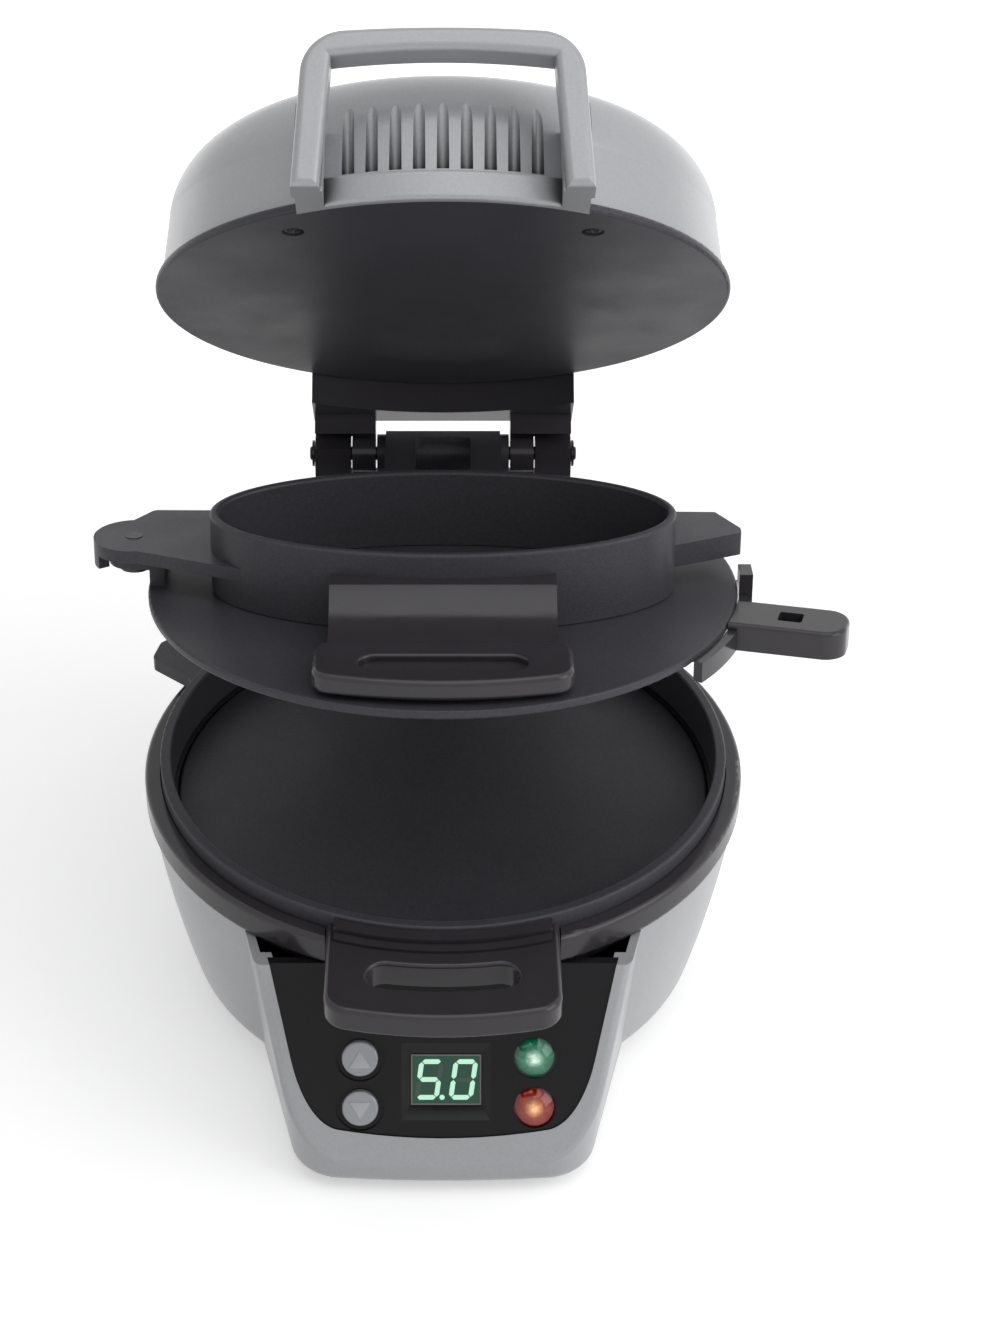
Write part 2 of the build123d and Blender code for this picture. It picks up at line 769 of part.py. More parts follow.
with BuildPart() as tact_switches:
    with BuildSketch(on_panel(board_depth)):
        with Locations(*button_places):
            Rectangle(6.2, 6.2)
    extrude(amount=3.5)
    with BuildSketch(on_panel(board_depth - 3.5)):
        with Locations(*button_places):
            Circle(1.7)
    extrude(amount=0.5)

with BuildPart() as indicator_leds:
    with BuildSketch(on_panel(board_depth)):
        with Locations(*lens_places):
            Circle(led_radius)
    extrude(amount=led_stem)
    with Locations(*[on_panel(board_depth - led_stem).from_local_coords((x, y, 0)) for x, y in lens_places]):
        Sphere(led_radius)


def button_cap(place):
    """A round button cap with the flange that keeps it in, its top slightly crowned."""
    with BuildPart() as cap:
        with BuildSketch(on_panel(panel_back + seam)):
            with Locations(place):
                Circle(button_radius)
        extrude(amount=panel_thickness + seam + button_stand)
        top = cap.faces().sort_by(Axis(origin=(0, 0, 0), direction=panel_plane.z_dir))[-1]
        fillet(top.edges(), radius=0.8)
        with BuildSketch(on_panel(panel_back + seam)):
            with Locations(place):
                Circle(button_radius + button_flange)
        extrude(amount=-1.0)
    return cap.part


with BuildPart() as up_button:
    add(button_cap(button_places[0]))

with BuildPart() as down_button:
    add(button_cap(button_places[1]))


with BuildPart() as lens_form:
    # domed in front of the panel, with a flange behind it, standing on Z at the origin
    ball_radius = (lens_radius**2 + lens_rise**2) / (2 * lens_rise)
    with Locations((0, 0, lens_rise - ball_radius)):
        Sphere(ball_radius)
    with BuildSketch(Plane.XY):
        Rectangle(4 * ball_radius, 4 * ball_radius)
    extrude(amount=-3 * ball_radius, mode=Mode.SUBTRACT)
    with BuildSketch(Plane.XY):
        Circle(lens_radius)
    extrude(amount=-panel_thickness)
    with BuildSketch(Plane.XY.offset(-panel_thickness)):
        Circle(lens_radius + 0.6)
    extrude(amount=-1.0)

with BuildPart() as green_lens:
    add(lens_form.part.moved(on_panel(panel_recess).location * Pos(*lens_places[0])))

with BuildPart() as red_lens:
    add(lens_form.part.moved(on_panel(panel_recess).location * Pos(*lens_places[1])))

# ---- base: hinge tower ----------------------------------------------------------------------------------
tower_bottom_z = body_z + 2
tower_top_z = rim_z - 2
tower_root_y = body_bottom_radius - 12.5
stop_pin_z = tower_top_z - 6.9
rear_plane = Plane(origin=(0, 0, 0), x_dir=(1, 0, 0), z_dir=(0, 1, 0))

with BuildPart() as hinge_tower:
    with BuildSketch(Plane.XY.offset(tower_bottom_z)):
        with Locations((0, (tower_back_y + tower_root_y) / 2)):
            Rectangle(tower_width, tower_back_y - tower_root_y)
    extrude(amount=tower_top_z - tower_bottom_z)
    fillet(hinge_tower.edges().filter_by(Axis.Z).group_by(Axis.Y)[-1], radius=5.0)
    fillet(hinge_tower.faces().sort_by(Axis.Z)[-1].edges().group_by(Axis.Y)[-1], radius=1.5)
    # follows the bowl, and clears the cavity the stem slides in
    with BuildSketch(Plane.XZ):
        with BuildLine():
            add(bowl_profile(-seam, body_z, rim_z))
        make_face()
    revolve(axis=Axis.Z, mode=Mode.SUBTRACT)
    with BuildSketch(Plane.XY.offset(tower_bottom_z + 4)):
        with Locations((0, (stem_front_y + stem_back_y) / 2)):
            Rectangle(stem_width + 2 * slide_fit, stem_thickness + 2 * slide_fit)
    extrude(amount=tower_top_z, mode=Mode.SUBTRACT)
    # grip grooves across its back
    with BuildSketch(Plane.YZ.offset(-tower_width / 2)):
        for level in range(5):
            with Locations((tower_back_y, tower_bottom_z + 12 + 5 * level)):
                Rectangle(1.6, 1.6)
    extrude(amount=tower_width, mode=Mode.SUBTRACT)
    # bore of the stop pin, and blind holes of its screws
    with BuildSketch(rear_plane.offset(tower_root_y)):
        with Locations((0, -stop_pin_z)):
            Circle(stop_pin_radius + press)
    extrude(amount=tower_back_y - tower_root_y, mode=Mode.SUBTRACT)
    with BuildSketch(rear_plane.offset(body_bottom_radius - 28.5)):
        with Locations(*[(x, -z) for x, z in tower_screw_places]):
            Circle(screw_radius)
    extrude(amount=50, mode=Mode.SUBTRACT)

with BuildPart() as tower_stop_pin:
    with BuildSketch(rear_plane.offset(stem_front_y - 2.2)):
        with Locations((0, -stop_pin_z)):
            Circle(stop_pin_radius)
    extrude(amount=tower_back_y - stem_front_y + 2.2 - 0.5)
    chamfer(tower_stop_pin.faces().sort_by(Axis.Y)[-1].edges(), length=0.4)

with BuildPart() as tower_screws:
    for x, z in tower_screw_places:
        inside_y = sqrt(bowl_radius(z) ** 2 - x**2) - shell_wall - 2.0
        with BuildSketch(rear_plane.offset(inside_y - 2.0)):
            with Locations((x, -z)):
                Circle(2 * screw_radius)
        extrude(amount=2.0)
        with BuildSketch(rear_plane.offset(inside_y)):
            with Locations((x, -z)):
                Circle(screw_radius)
        extrude(amount=12)

# ---- hinge yoke -------------------------------------------------------------------------------------------
crossbar_z = hinge_z - crossbar_below_hinge - crossbar_height

with BuildPart() as hinge_yoke:
    with BuildSketch(Plane.YZ.offset(-arm_outer_x)):
        with Locations((stem_front_y - 0.3 + 5.6, crossbar_z + crossbar_height / 2)):
            RectangleRounded(11.2, crossbar_height, 1.5)
    extrude(amount=2 * arm_outer_x)
    for side in (1, -1):
        with BuildSketch(Plane.YZ.offset(side * block_inner_x)):
            with Locations((hinge_y, crossbar_z + crossbar_height - 3)):
                Rectangle(12, crossbar_below_hinge + 8.5, align=(Align.CENTER, Align.MIN))
        extrude(amount=side * (arm_outer_x - block_inner_x))
    with BuildSketch(Plane.XY.offset(hinge_z - stem_below_hinge)):
        with Locations((0, (stem_front_y + stem_back_y) / 2)):
            Rectangle(stem_width, stem_thickness)
    extrude(amount=stem_below_hinge - crossbar_below_hinge - crossbar_height / 2)
    # slot that the stop pin runs in
    with BuildSketch(rear_plane.offset(stem_front_y - 1)):
        with Locations((0, -(stop_pin_z - lift / 2))):
            SlotCenterToCenter(lift + 0.2, 2 * stop_pin_radius + 0.4, rotation=90)
    extrude(amount=stem_thickness + 2, mode=Mode.SUBTRACT)
    # lightening channels down the back of the stem
    with BuildSketch(rear_plane.offset(stem_back_y - 1.5)):
        with Locations((9.5, -(stop_pin_z - lift / 2)), (-9.5, -(stop_pin_z - lift / 2))):
            SlotOverall(50, 4, rotation=90)
    extrude(amount=3, mode=Mode.SUBTRACT)
    # bore of the rod
    with BuildSketch(Plane.YZ.offset(-60)):
        with Locations((hinge_y, hinge_z)):
            Circle(rod_radius + press)
    extrude(amount=120, mode=Mode.SUBTRACT)

with BuildPart() as hinge_rod:
    with BuildSketch(Plane.YZ.offset(-arm_outer_x - 2)):
        with Locations((hinge_y, hinge_z)):
            Circle(rod_radius)
    extrude(amount=2 * arm_outer_x + 4)
    chamfer(hinge_rod.edges().filter_by(GeomType.CIRCLE), length=0.4)

with BuildPart() as rod_clips:
    for side in (1, -1):
        with BuildSketch(Plane.YZ.offset(side * (arm_outer_x + 0.3))):
            with Locations((hinge_y, hinge_z)):
                Circle(4.8)
                Circle(rod_radius + press, mode=Mode.SUBTRACT)
            with Locations((hinge_y, hinge_z - 4)):
                Rectangle(2.6, 5, mode=Mode.SUBTRACT)
        extrude(amount=side * 0.8)

# ---- lower ring -------------------------------------------------------------------------------------------
with BuildPart() as lower_ring:
    with BuildSketch(Plane.XZ):
        with Locations((ring_bore_radius, ring_z)):
            Rectangle(ring_wall, ring_height, align=(Align.MIN, Align.MIN))
    revolve(axis=Axis.Z)
    fillet(lower_ring.edges().filter_by(GeomType.CIRCLE).group_by(Axis.Z)[-1], radius=0.8)
    # ear at the left, behind
    ear_plane = Plane(
        origin=(0, 0, ring_top_z - 0.5 - ear_thickness),
        x_dir=(cos(radians(ear_angle)), sin(radians(ear_angle)), 0),
        z_dir=(0, 0, 1),
    )
    with BuildSketch(ear_plane):
        with BuildLine():
            Polyline(
                (ring_radius - 1.5, -ear_width / 2 - 3.5),
                (ear_reach - 3, -ear_width / 2),
                (ear_reach, 0),
                (ear_reach - 3, ear_width / 2),
                (ring_radius - 1.5, ear_width / 2 + 3.5),
                close=True,
            )
        make_face()
    extrude(amount=ear_thickness)
    fillet(lower_ring.edges().filter_by(Axis.Z), radius=3.0)
    # tongue that runs into the handle
    with BuildSketch(Plane.XY.offset(ring_tongue_z)):
        with Locations((0, -ring_radius - 3)):
            Rectangle(ring_tongue[0], ring_tongue[1])
        with Locations(*ring_screw_places):
            Circle(screw_radius + press, mode=Mode.SUBTRACT)
    extrude(amount=ring_tongue[2])

slot_span = degrees((ring_handle_slot[0] - ring_handle_slot[1]) / ring_handle_slot_radius)
slot_line = CenterArc((0, 0), ring_handle_slot_radius, -90 - slot_span / 2, slot_span)

with BuildPart() as lower_ring_handle:
    # its front edge, ledges and slot are arcs about the bowl's axis
    with BuildSketch(Plane.XY.offset(ring_handle_z)) as grip_plan:
        Circle(ring_handle_reach)
        Rectangle(
            ring_handle_width, 2 * ring_handle_reach, align=(Align.CENTER, Align.MAX), mode=Mode.INTERSECT
        )
        Circle(ring_radius - 12, mode=Mode.SUBTRACT)
        fillet(grip_plan.vertices().group_by(Axis.Y)[0], radius=ring_handle_corner)
    extrude(amount=ring_handle_thickness)
    fillet(lower_ring_handle.faces().sort_by(Axis.Z)[-1].edges(), radius=ring_handle_round)
    fillet(lower_ring_handle.faces().sort_by(Axis.Z)[0].edges(), radius=1.5)
    ledge_width = ring_handle_width - 2 * ring_handle_round - 1
    for width, height in ((8.0, 1.0), (4.5, 2.6)):
        with BuildSketch(Plane.XY.offset(ring_handle_z + ring_handle_thickness / 2)):
            Circle(ring_radius + width)
            Rectangle(ledge_width, 2 * ring_handle_reach, align=(Align.CENTER, Align.MAX), mode=Mode.INTERSECT)
        extrude(amount=ring_handle_thickness / 2 + height)
    with BuildSketch(Plane.XY.offset(ring_handle_z - 1)):
        Circle(ring_radius + seam)
    extrude(amount=20, mode=Mode.SUBTRACT)
    with BuildSketch(Plane.XY.offset(ring_handle_z)):
        SlotArc(slot_line, ring_handle_slot[1])
    extrude(amount=ring_handle_thickness, mode=Mode.SUBTRACT)
    slot_rim = lower_ring_handle.edges().filter_by(
        lambda e: abs(e.center().Z - ring_handle_z - ring_handle_thickness) < 0.01
        and abs(e.center().X) < ring_handle_slot[0] / 2
        and e.center().Y < -ring_radius - 9
    )
    fillet(slot_rim, radius=1.4)
    # pocket for the ring's tongue, and its screws' holes
    with BuildSketch(Plane.XY.offset(ring_tongue_z - seam)):
        with Locations((0, -ring_radius - 3)):
            Rectangle(ring_tongue[0] + 2 * seam, ring_tongue[1] + 2 * seam)
    extrude(amount=ring_tongue[2] + 2 * seam, mode=Mode.SUBTRACT)
    with BuildSketch(Plane.XY.offset(ring_handle_z)):
        with Locations(*ring_screw_places):
            Circle(screw_radius)
    extrude(amount=ring_handle_thickness - 1, mode=Mode.SUBTRACT)
    with BuildSketch(Plane.XY.offset(ring_handle_z)):
        with Locations(*ring_screw_places):
            Circle(2 * screw_radius + seam)
    extrude(amount=1.6, mode=Mode.SUBTRACT)

with BuildPart() as ring_handle_screws:
    with BuildSketch(Plane.XY.offset(ring_handle_z + 0.2)):
        with Locations(*ring_screw_places):
            Circle(2 * screw_radius)
    extrude(amount=1.4)
    with BuildSketch(Plane.XY.offset(ring_handle_z + 1.6)):
        with Locations(*ring_screw_places):
            Circle(screw_radius)
    extrude(amount=6)

# ---- cooking plate ----------------------------------------------------------------------------------------
swing_plane = Plane(
    origin=(0, 0, 0),
    x_dir=(cos(radians(plate_handle_angle)), sin(radians(plate_handle_angle)), 0),
    z_dir=(0, 0, 1),
)
lug_top_z = egg_z + 9.4
lug_z = lug_top_z - lug_thickness
wing_z = lug_top_z + 0.3

with BuildPart() as cooking_plate:
    with BuildSketch(Plane.XY.offset(plate_z)):
        Circle(plate_radius)
    extrude(amount=plate_thickness)
    fillet(cooking_plate.edges().filter_by(GeomType.CIRCLE), radius=0.8)
    # riser and the lug that turns on the pivot
    with BuildSketch(Plane.XY.offset(plate_z + 1)):
        with Locations((pivot_x + 8.1, pivot_y)):
            Rectangle(5, 18)
    extrude(amount=lug_top_z - plate_z - 1)
    with BuildSketch(Plane.XY.offset(lug_z)):
        with Locations((pivot_x, pivot_y)):
            Circle(lug_radius)
        with Locations((pivot_x + 4, pivot_y)):
            Rectangle(8, 2 * lug_radius)
    extrude(amount=lug_top_z - lug_z)
    with BuildSketch(Plane.XY.offset(lug_z - 1)):
        with Locations((pivot_x, pivot_y)):
            Circle(pivot_pin_radius + pin_fit)
    extrude(amount=8, mode=Mode.SUBTRACT)
    # tongue for the handle
    with BuildSketch(swing_plane.offset(plate_z)):
        with Locations((plate_radius + 4, 0)):
            Rectangle(18, 13)
        with Locations((plate_screw_reach, 0)):
            Circle(screw_radius + press, mode=Mode.SUBTRACT)
    extrude(amount=2.4)

with BuildPart() as plate_handle:
    handle_z = ring_top_z - 5.4
    handle_root = plate_radius - 9
    inner = plate_radius + 0.4
    with BuildSketch(swing_plane.offset(handle_z)):
        with Locations(((plate_handle_reach + handle_root) / 2, 0)):
            Rectangle(plate_handle_reach - handle_root, plate_handle_width)
    extrude(amount=plate_handle_thickness)
    fillet(plate_handle.edges().filter_by(Axis.Z), radius=7.5)
    fillet(plate_handle.faces().sort_by(Axis.Z)[-1].edges(), radius=1.5)
    # shield that follows the plate's edge
    with BuildSketch(Plane.XY.offset(handle_z)):
        Circle(inner + 3.2)
        with BuildLine():
            Polyline((0, 0), (150, 8), (150, -110), close=True)
        make_face(mode=Mode.INTERSECT)
    extrude(amount=7)
    # finger under the egg ring's wing
    with BuildSketch(Plane.XY.offset(handle_z)):
        with Locations((inner + 2, -2.5)):
            Rectangle(4.6, 9)
    extrude(amount=14.2)
    with BuildSketch(Plane.XY.offset(handle_z)):
        Circle(inner)
    extrude(amount=20, mode=Mode.SUBTRACT)
    with BuildSketch(swing_plane.offset(handle_z + plate_handle_thickness)):
        with Locations((plate_radius + 19, 0)):
            RectangleRounded(8, 7, 1)
    extrude(amount=-5, mode=Mode.SUBTRACT)
    with BuildSketch(swing_plane.offset(plate_z - seam)):
        with Locations((plate_radius + 4, 0)):
            Rectangle(18 + 2 * seam, 13 + 2 * seam)
    extrude(amount=2.4 + 2 * seam, mode=Mode.SUBTRACT)
    with BuildSketch(swing_plane.offset(handle_z)):
        with Locations((plate_screw_reach, 0)):
            Circle(screw_radius)
    extrude(amount=8.4, mode=Mode.SUBTRACT)
    with BuildSketch(swing_plane.offset(handle_z)):
        with Locations((plate_screw_reach, 0)):
            Circle(2 * screw_radius + seam)
    extrude(amount=1.8, mode=Mode.SUBTRACT)

with BuildPart() as plate_handle_screw:
    with BuildSketch(swing_plane.offset(handle_z + 0.3)):
        with Locations((plate_screw_reach, 0)):
            Circle(2 * screw_radius)
    extrude(amount=1.5)
    with BuildSketch(swing_plane.offset(handle_z + 1.8)):
        with Locations((plate_screw_reach, 0)):
            Circle(screw_radius)
    extrude(amount=6.4)

# ---- egg ring -----------------------------------------------------------------------------------------------
with BuildPart() as egg_ring:
    with BuildSketch(Plane.XY.offset(egg_z)):
        add(oval(egg_half_length, egg_half_width))
    extrude(amount=egg_ring_height)
    # left wing, with a round lobe over the pivot and a skirt round the lug
    with BuildSketch(Plane.XY.offset(wing_z)):
        with BuildLine():
            Polyline(
                (-60, 27),
                (pivot_x + 5, 27.5),
                (pivot_x - 3, pivot_y + 11),
                (pivot_x, pivot_y - 12.5),
                (-60, -26),
                close=True,
            )
        make_face()
        with Locations((pivot_x, pivot_y)):
            Circle(lobe_radius)
    extrude(amount=wing_thickness)
    fillet(egg_ring.edges().filter_by(Axis.Z).filter_by(lambda e: e.center().Y > 27), radius=3.0)
    with BuildSketch(Plane.XY.offset(lug_z)):
        with Locations((pivot_x, pivot_y)):
            Circle(lobe_radius)
            Circle(lug_radius + 1.2, mode=Mode.SUBTRACT)
        with BuildLine():
            Polyline(
                (pivot_x, pivot_y), (pivot_x + 8, pivot_y + 30), (pivot_x - 30, pivot_y + 30),
                (pivot_x - 30, pivot_y - 20),
                close=True,
            )
        make_face(mode=Mode.INTERSECT)
    extrude(amount=wing_z - lug_z)
    # right wing
    with BuildSketch(Plane.XY.offset(egg_z + 7.3)) as right_wing:
        with BuildLine():
            Polyline(
                (60, 24),
                (plate_radius - 6, 23),
                (plate_radius + 1.4, 9),
                (plate_radius + 1.5, 5),
                (60, -14),
                close=True,
            )
        make_face()
        fillet(right_wing.vertices().group_by(Axis.X)[-1], radius=1.5)
    extrude(amount=right_wing_thickness)
    # bracket that runs back to the hinge barrel
    with BuildSketch(Plane.XY.offset(hinge_z + 2)):
        with Locations((0, (20 + hinge_y + 2) / 2)):
            Rectangle(bracket_width, hinge_y + 2 - 20)
        with Locations((0, hinge_y - 20.7)):
            RectangleRounded(*bracket_window, 2.0, mode=Mode.SUBTRACT)
    extrude(amount=6)
    with BuildSketch(Plane.YZ.offset(-barrel_half_length)):
        with Locations((hinge_y, hinge_z)):
            Circle(barrel_radius)
    extrude(amount=2 * barrel_half_length)
    with BuildSketch(Plane.YZ.offset(-barrel_half_length)):
        with Locations((hinge_y, hinge_z)):
            Circle(rod_radius + pin_fit)
    extrude(amount=2 * barrel_half_length, mode=Mode.SUBTRACT)
    with BuildSketch(Plane.XY.offset(egg_z)):
        add(oval(egg_half_length - egg_wall, egg_half_width - egg_wall))
    extrude(amount=egg_ring_height, mode=Mode.SUBTRACT)
    fillet(egg_ring.faces().sort_by(Axis.Z)[-1].edges(), radius=egg_rim_round)
    with BuildSketch(Plane.XY.offset(wing_z)):
        with Locations((pivot_x, pivot_y)):
            Circle(pivot_pin_radius + press)
    extrude(amount=wing_thickness, mode=Mode.SUBTRACT)
    # tongue for the handle
    with BuildSketch(Plane.XY.offset(egg_z + 2.2)):
        with Locations((0, -52)):
            Rectangle(44, 24)
        with Locations(*egg_screw_places):
            Circle(screw_radius + press, mode=Mode.SUBTRACT)
    extrude(amount=2)
    with BuildSketch(Plane.XY.offset(egg_z)):
        add(oval(egg_half_length - egg_wall, egg_half_width - egg_wall))
    extrude(amount=egg_ring_height, mode=Mode.SUBTRACT)

with BuildPart() as egg_ring_handle:
    grip_z = egg_z + 1.2
    grip_front_y = egg_centre_y - egg_half_width - egg_grip_out
    with BuildSketch(Plane.XY.offset(grip_z)) as egg_grip_plan:
        with Locations((0, grip_front_y)):
            Rectangle(egg_grip_width, egg_grip_length, align=(Align.CENTER, Align.MIN))
        with Locations((0, grip_front_y + ring_handle_reach)):
            Circle(ring_handle_reach, mode=Mode.INTERSECT)
        fillet(egg_grip_plan.vertices(), radius=7.0)
    extrude(amount=egg_grip_thickness)
    fillet(egg_ring_handle.faces().filter_by(Axis.Z).edges(), radius=2.0)
    ramp_foot_y = grip_front_y + egg_grip_length - 4
    with BuildSketch(Plane.YZ.offset(-egg_ramp_width / 2)):
        with BuildLine():
            Polyline(
                (ramp_foot_y, grip_z + egg_grip_thickness - 0.1),
                (ramp_foot_y, grip_z + 0.1),
                (-30, grip_z + 0.1),
                (-30, grip_z + 17.5),
                (-46, grip_z + 17.5),
            )
            ThreePointArc(
                (-46, grip_z + 17.5), (-53.5, grip_z + 10.3), (ramp_foot_y, grip_z + egg_grip_thickness - 0.1)
            )
        make_face()
    extrude(amount=egg_ramp_width)
    with BuildSketch(Plane.XY.offset(grip_z + egg_grip_thickness)):
        with Locations((0, grip_front_y + 14.5)):
            SlotOverall(egg_trough[0], egg_trough[1])
    extrude(amount=-egg_trough[2], mode=Mode.SUBTRACT)
    trough_rim = egg_ring_handle.edges().filter_by(
        lambda e: abs(e.center().Z - grip_z - egg_grip_thickness) < 0.01
        and abs(e.center().X) < egg_trough[0] / 2
        and abs(e.center().Y - grip_front_y - 14.5) < egg_trough[1] / 2 + 0.1
    )
    fillet(trough_rim, radius=1.0)
    with BuildSketch(Plane.XY.offset(grip_z - 1)):
        add(oval(egg_half_length + seam, egg_half_width + seam))
    extrude(amount=30, mode=Mode.SUBTRACT)
    with BuildSketch(Plane.XY.offset(egg_z + 2.2 - seam)):
        with Locations((0, -52)):
            Rectangle(44 + 2 * seam, 24 + 2 * seam)
    extrude(amount=2 + 2 * seam, mode=Mode.SUBTRACT)
    with BuildSketch(Plane.XY.offset(grip_z)):
        with Locations(*egg_screw_places):
            Circle(2 * screw_radius + seam)
    extrude(amount=2, mode=Mode.SUBTRACT)
    with BuildSketch(Plane.XY.offset(grip_z)):
        with Locations(*egg_screw_places):
            Circle(screw_radius)
    extrude(amount=6, mode=Mode.SUBTRACT)

with BuildPart() as egg_handle_screws:
    with BuildSketch(Plane.XY.offset(grip_z + 0.1)):
        with Locations(*egg_screw_places):
            Circle(2 * screw_radius)
    extrude(amount=0.9)
    with BuildSketch(Plane.XY.offset(grip_z + 1)):
        with Locations(*egg_screw_places):
            Circle(screw_radius)
    extrude(amount=4.8)

with BuildPart() as plate_pivot_pin:
    with BuildSketch(Plane.XY.offset(lug_z - 2.5)):
        with Locations((pivot_x, pivot_y)):
            Circle(5)
    extrude(amount=2.2)
    with BuildSketch(Plane.XY.offset(lug_z - 0.3)):
        with Locations((pivot_x, pivot_y)):
            Circle(pivot_pin_radius)
    extrude(amount=9.5)

# ---- lid ----------------------------------------------------------------------------------------------------
upper_element_z = liner_z + 1.2
upper_reflector_z = liner_z + 12 - reflector_sheet
front_boss_y = -sqrt((lid_wall_radius - 12.7) ** 2 - 47**2)
back_boss_y = sqrt((lid_wall_radius - 12.0) ** 2 - 30**2)
shell_boss_places = [(47, front_boss_y), (-47, front_boss_y), (30, back_boss_y), (-30, back_boss_y)]
front_plane = Plane(origin=(0, 0, 0), x_dir=(1, 0, 0), z_dir=(0, -1, 0))
foot_x = lid_handle_width / 2 + lid_handle_splay * 0.7 - lid_handle_leg / 2
handle_screw_places = [(side * foot_x, lip_z + 12.5) for side in (1, -1)]


def dome(inset, low_z):
    """The lid's outer form as a solid, brought in from the outside by an inset."""
    round_z = lip_z + lid_wall_height
    round_x = lid_wall_radius - lid_wall_draft - lid_shoulder_round
    draft = lid_wall_draft / lid_wall_height
    slope = radians(lid_crown_slope)
    crown_radius = round_x / sin(slope) + lid_shoulder_round - inset
    crown_z = round_z - round_x / tan(slope)
    bend = lid_shoulder_round - inset
    middle = (pi / 2 + slope) / 2
    with BuildPart() as form:
        with BuildSketch(Plane.XZ):
            with BuildLine():
                Polyline(
                    (0, low_z),
                    (lid_wall_radius + draft * (lip_z - low_z) - inset, low_z),
                    (round_x + bend, round_z),
                )
                ThreePointArc(
                    (round_x + bend, round_z),
                    (round_x + bend * sin(middle), round_z + bend * cos(middle)),
                    (round_x + bend * sin(slope), round_z + bend * cos(slope)),
                )
                ThreePointArc(
                    (round_x + bend * sin(slope), round_z + bend * cos(slope)),
                    (crown_radius * sin(slope / 2), crown_z + crown_radius * cos(slope / 2)),
                    (0, crown_z + crown_radius),
                )
                Line((0, crown_z + crown_radius), (0, low_z))
            make_face()
        revolve(axis=Axis.Z)
    return form.part


with BuildPart() as upper_heating_plate:
    with BuildSketch(Plane.XY.offset(lid_z)):
        Circle(lid_plate_radius)
    extrude(amount=lid_plate_edge)
    fillet(upper_heating_plate.edges().filter_by(GeomType.CIRCLE), radius=1.2)
    with BuildSketch(Plane.XY.offset(lid_z + lid_plate_edge)):
        Circle(lid_plate_radius - lid_plate_rim)
    extrude(amount=lid_plate_thickness - lid_plate_edge)
    with BuildSketch(Plane.XZ):
        with Locations((element_radius, upper_element_z)):
            Circle(element_tube_radius + seam)
    revolve(axis=Axis.Z, mode=Mode.SUBTRACT)
    with BuildSketch(Plane.XY.offset(lid_z + lid_plate_thickness)):
        with PolarLocations(plate_boss_radius, 3, start_angle=30):
            Circle(boss_radius)
            Circle(screw_radius, mode=Mode.SUBTRACT)
    extrude(amount=upper_reflector_z - lid_z - lid_plate_thickness)
    with BuildSketch(Plane.XY.offset(lid_z + lid_plate_thickness)):
        with Locations(*shell_boss_places[2:]):
            Circle(3.6)
    extrude(amount=-2, mode=Mode.SUBTRACT)
    with BuildSketch(Plane.XY.offset(lid_z)):
        with Locations(*shell_boss_places[:2]):
            Circle(3.6)
    extrude(amount=1.6, mode=Mode.SUBTRACT)
    with BuildSketch(Plane.XY.offset(lid_z)):
        with Locations(*shell_boss_places[:2]):
            Circle(screw_radius + press)
    extrude(amount=6, mode=Mode.SUBTRACT)

web_z = lid_z - 10.9

with BuildPart() as lid_frame:
    with BuildSketch(Plane.XY.offset(liner_z)):
        Circle(lid_wall_radius - shell_wall - 0.3)
        with Locations((0, hinge_y - 26.5)):
            Rectangle(2 * arm_outer_x + 1, 54)
        Circle(upper_reflector_radius + 0.8, mode=Mode.SUBTRACT)
    extrude(amount=liner_thickness)
    # plate and web behind, down to the arms
    with BuildSketch(Plane.XY.offset(web_z)):
        with Locations((0, hinge_y - 12.5)):
            Rectangle(2 * arm_outer_x + 1, 26)
        Circle(lid_plate_radius + seam, mode=Mode.SUBTRACT)
    extrude(amount=lip_z - web_z)
    for side in (1, -1):
        with BuildSketch(Plane.YZ.offset(side * (barrel_half_length + arm_gap))):
            with Locations((hinge_y - 1.5, hinge_z + 5)):
                Rectangle(14, lip_z - hinge_z - 5, align=(Align.CENTER, Align.MIN))
        extrude(amount=side * (arm_outer_x - barrel_half_length - arm_gap))
    with BuildSketch(Plane.YZ.offset(-60)):
        with Locations((hinge_y, hinge_z)):
            Circle(block_swing_radius + 1.5)
    extrude(amount=120, mode=Mode.SUBTRACT)
    for side in (1, -1):
        with BuildSketch(Plane.YZ.offset(side * (barrel_half_length + arm_gap))):
            with Locations((hinge_y, hinge_z)):
                Circle(barrel_radius + 0.3)
            with Locations((hinge_y, hinge_z + 6)):
                Rectangle(11, 12)
        extrude(amount=side * tongue_width)
    with BuildSketch(Plane.YZ.offset(-60)):
        with Locations((hinge_y, hinge_z)):
            Circle(rod_radius + pin_fit)
    extrude(amount=120, mode=Mode.SUBTRACT)
    with BuildSketch(Plane.XY.offset(liner_z)):
        with Locations(*shell_boss_places):
            Circle(screw_radius + press)
    extrude(amount=liner_thickness, mode=Mode.SUBTRACT)

with BuildPart() as rib_cutter:
    # grooves between the ribs, each with a round bottom and a mouth that opens out
    with BuildSketch(Plane.XY.offset(lip_z + rib_foot)):
        for step in range(rib_count - 1):
            x = (step - (rib_count - 2) / 2) * rib_pitch
            y = -sqrt((lid_wall_radius - rib_depth + groove_round) ** 2 - x**2)
            mouth = (rib_pitch - rib_crest) / 2
            with BuildLine():
                Polyline(
                    (x - groove_round, y), (x - mouth, y - 6), (x + mouth, y - 6), (x + groove_round, y),
                    close=True,
                )
            make_face()
            with Locations((x, y)):
                Circle(groove_round)
    extrude(amount=lid_height)

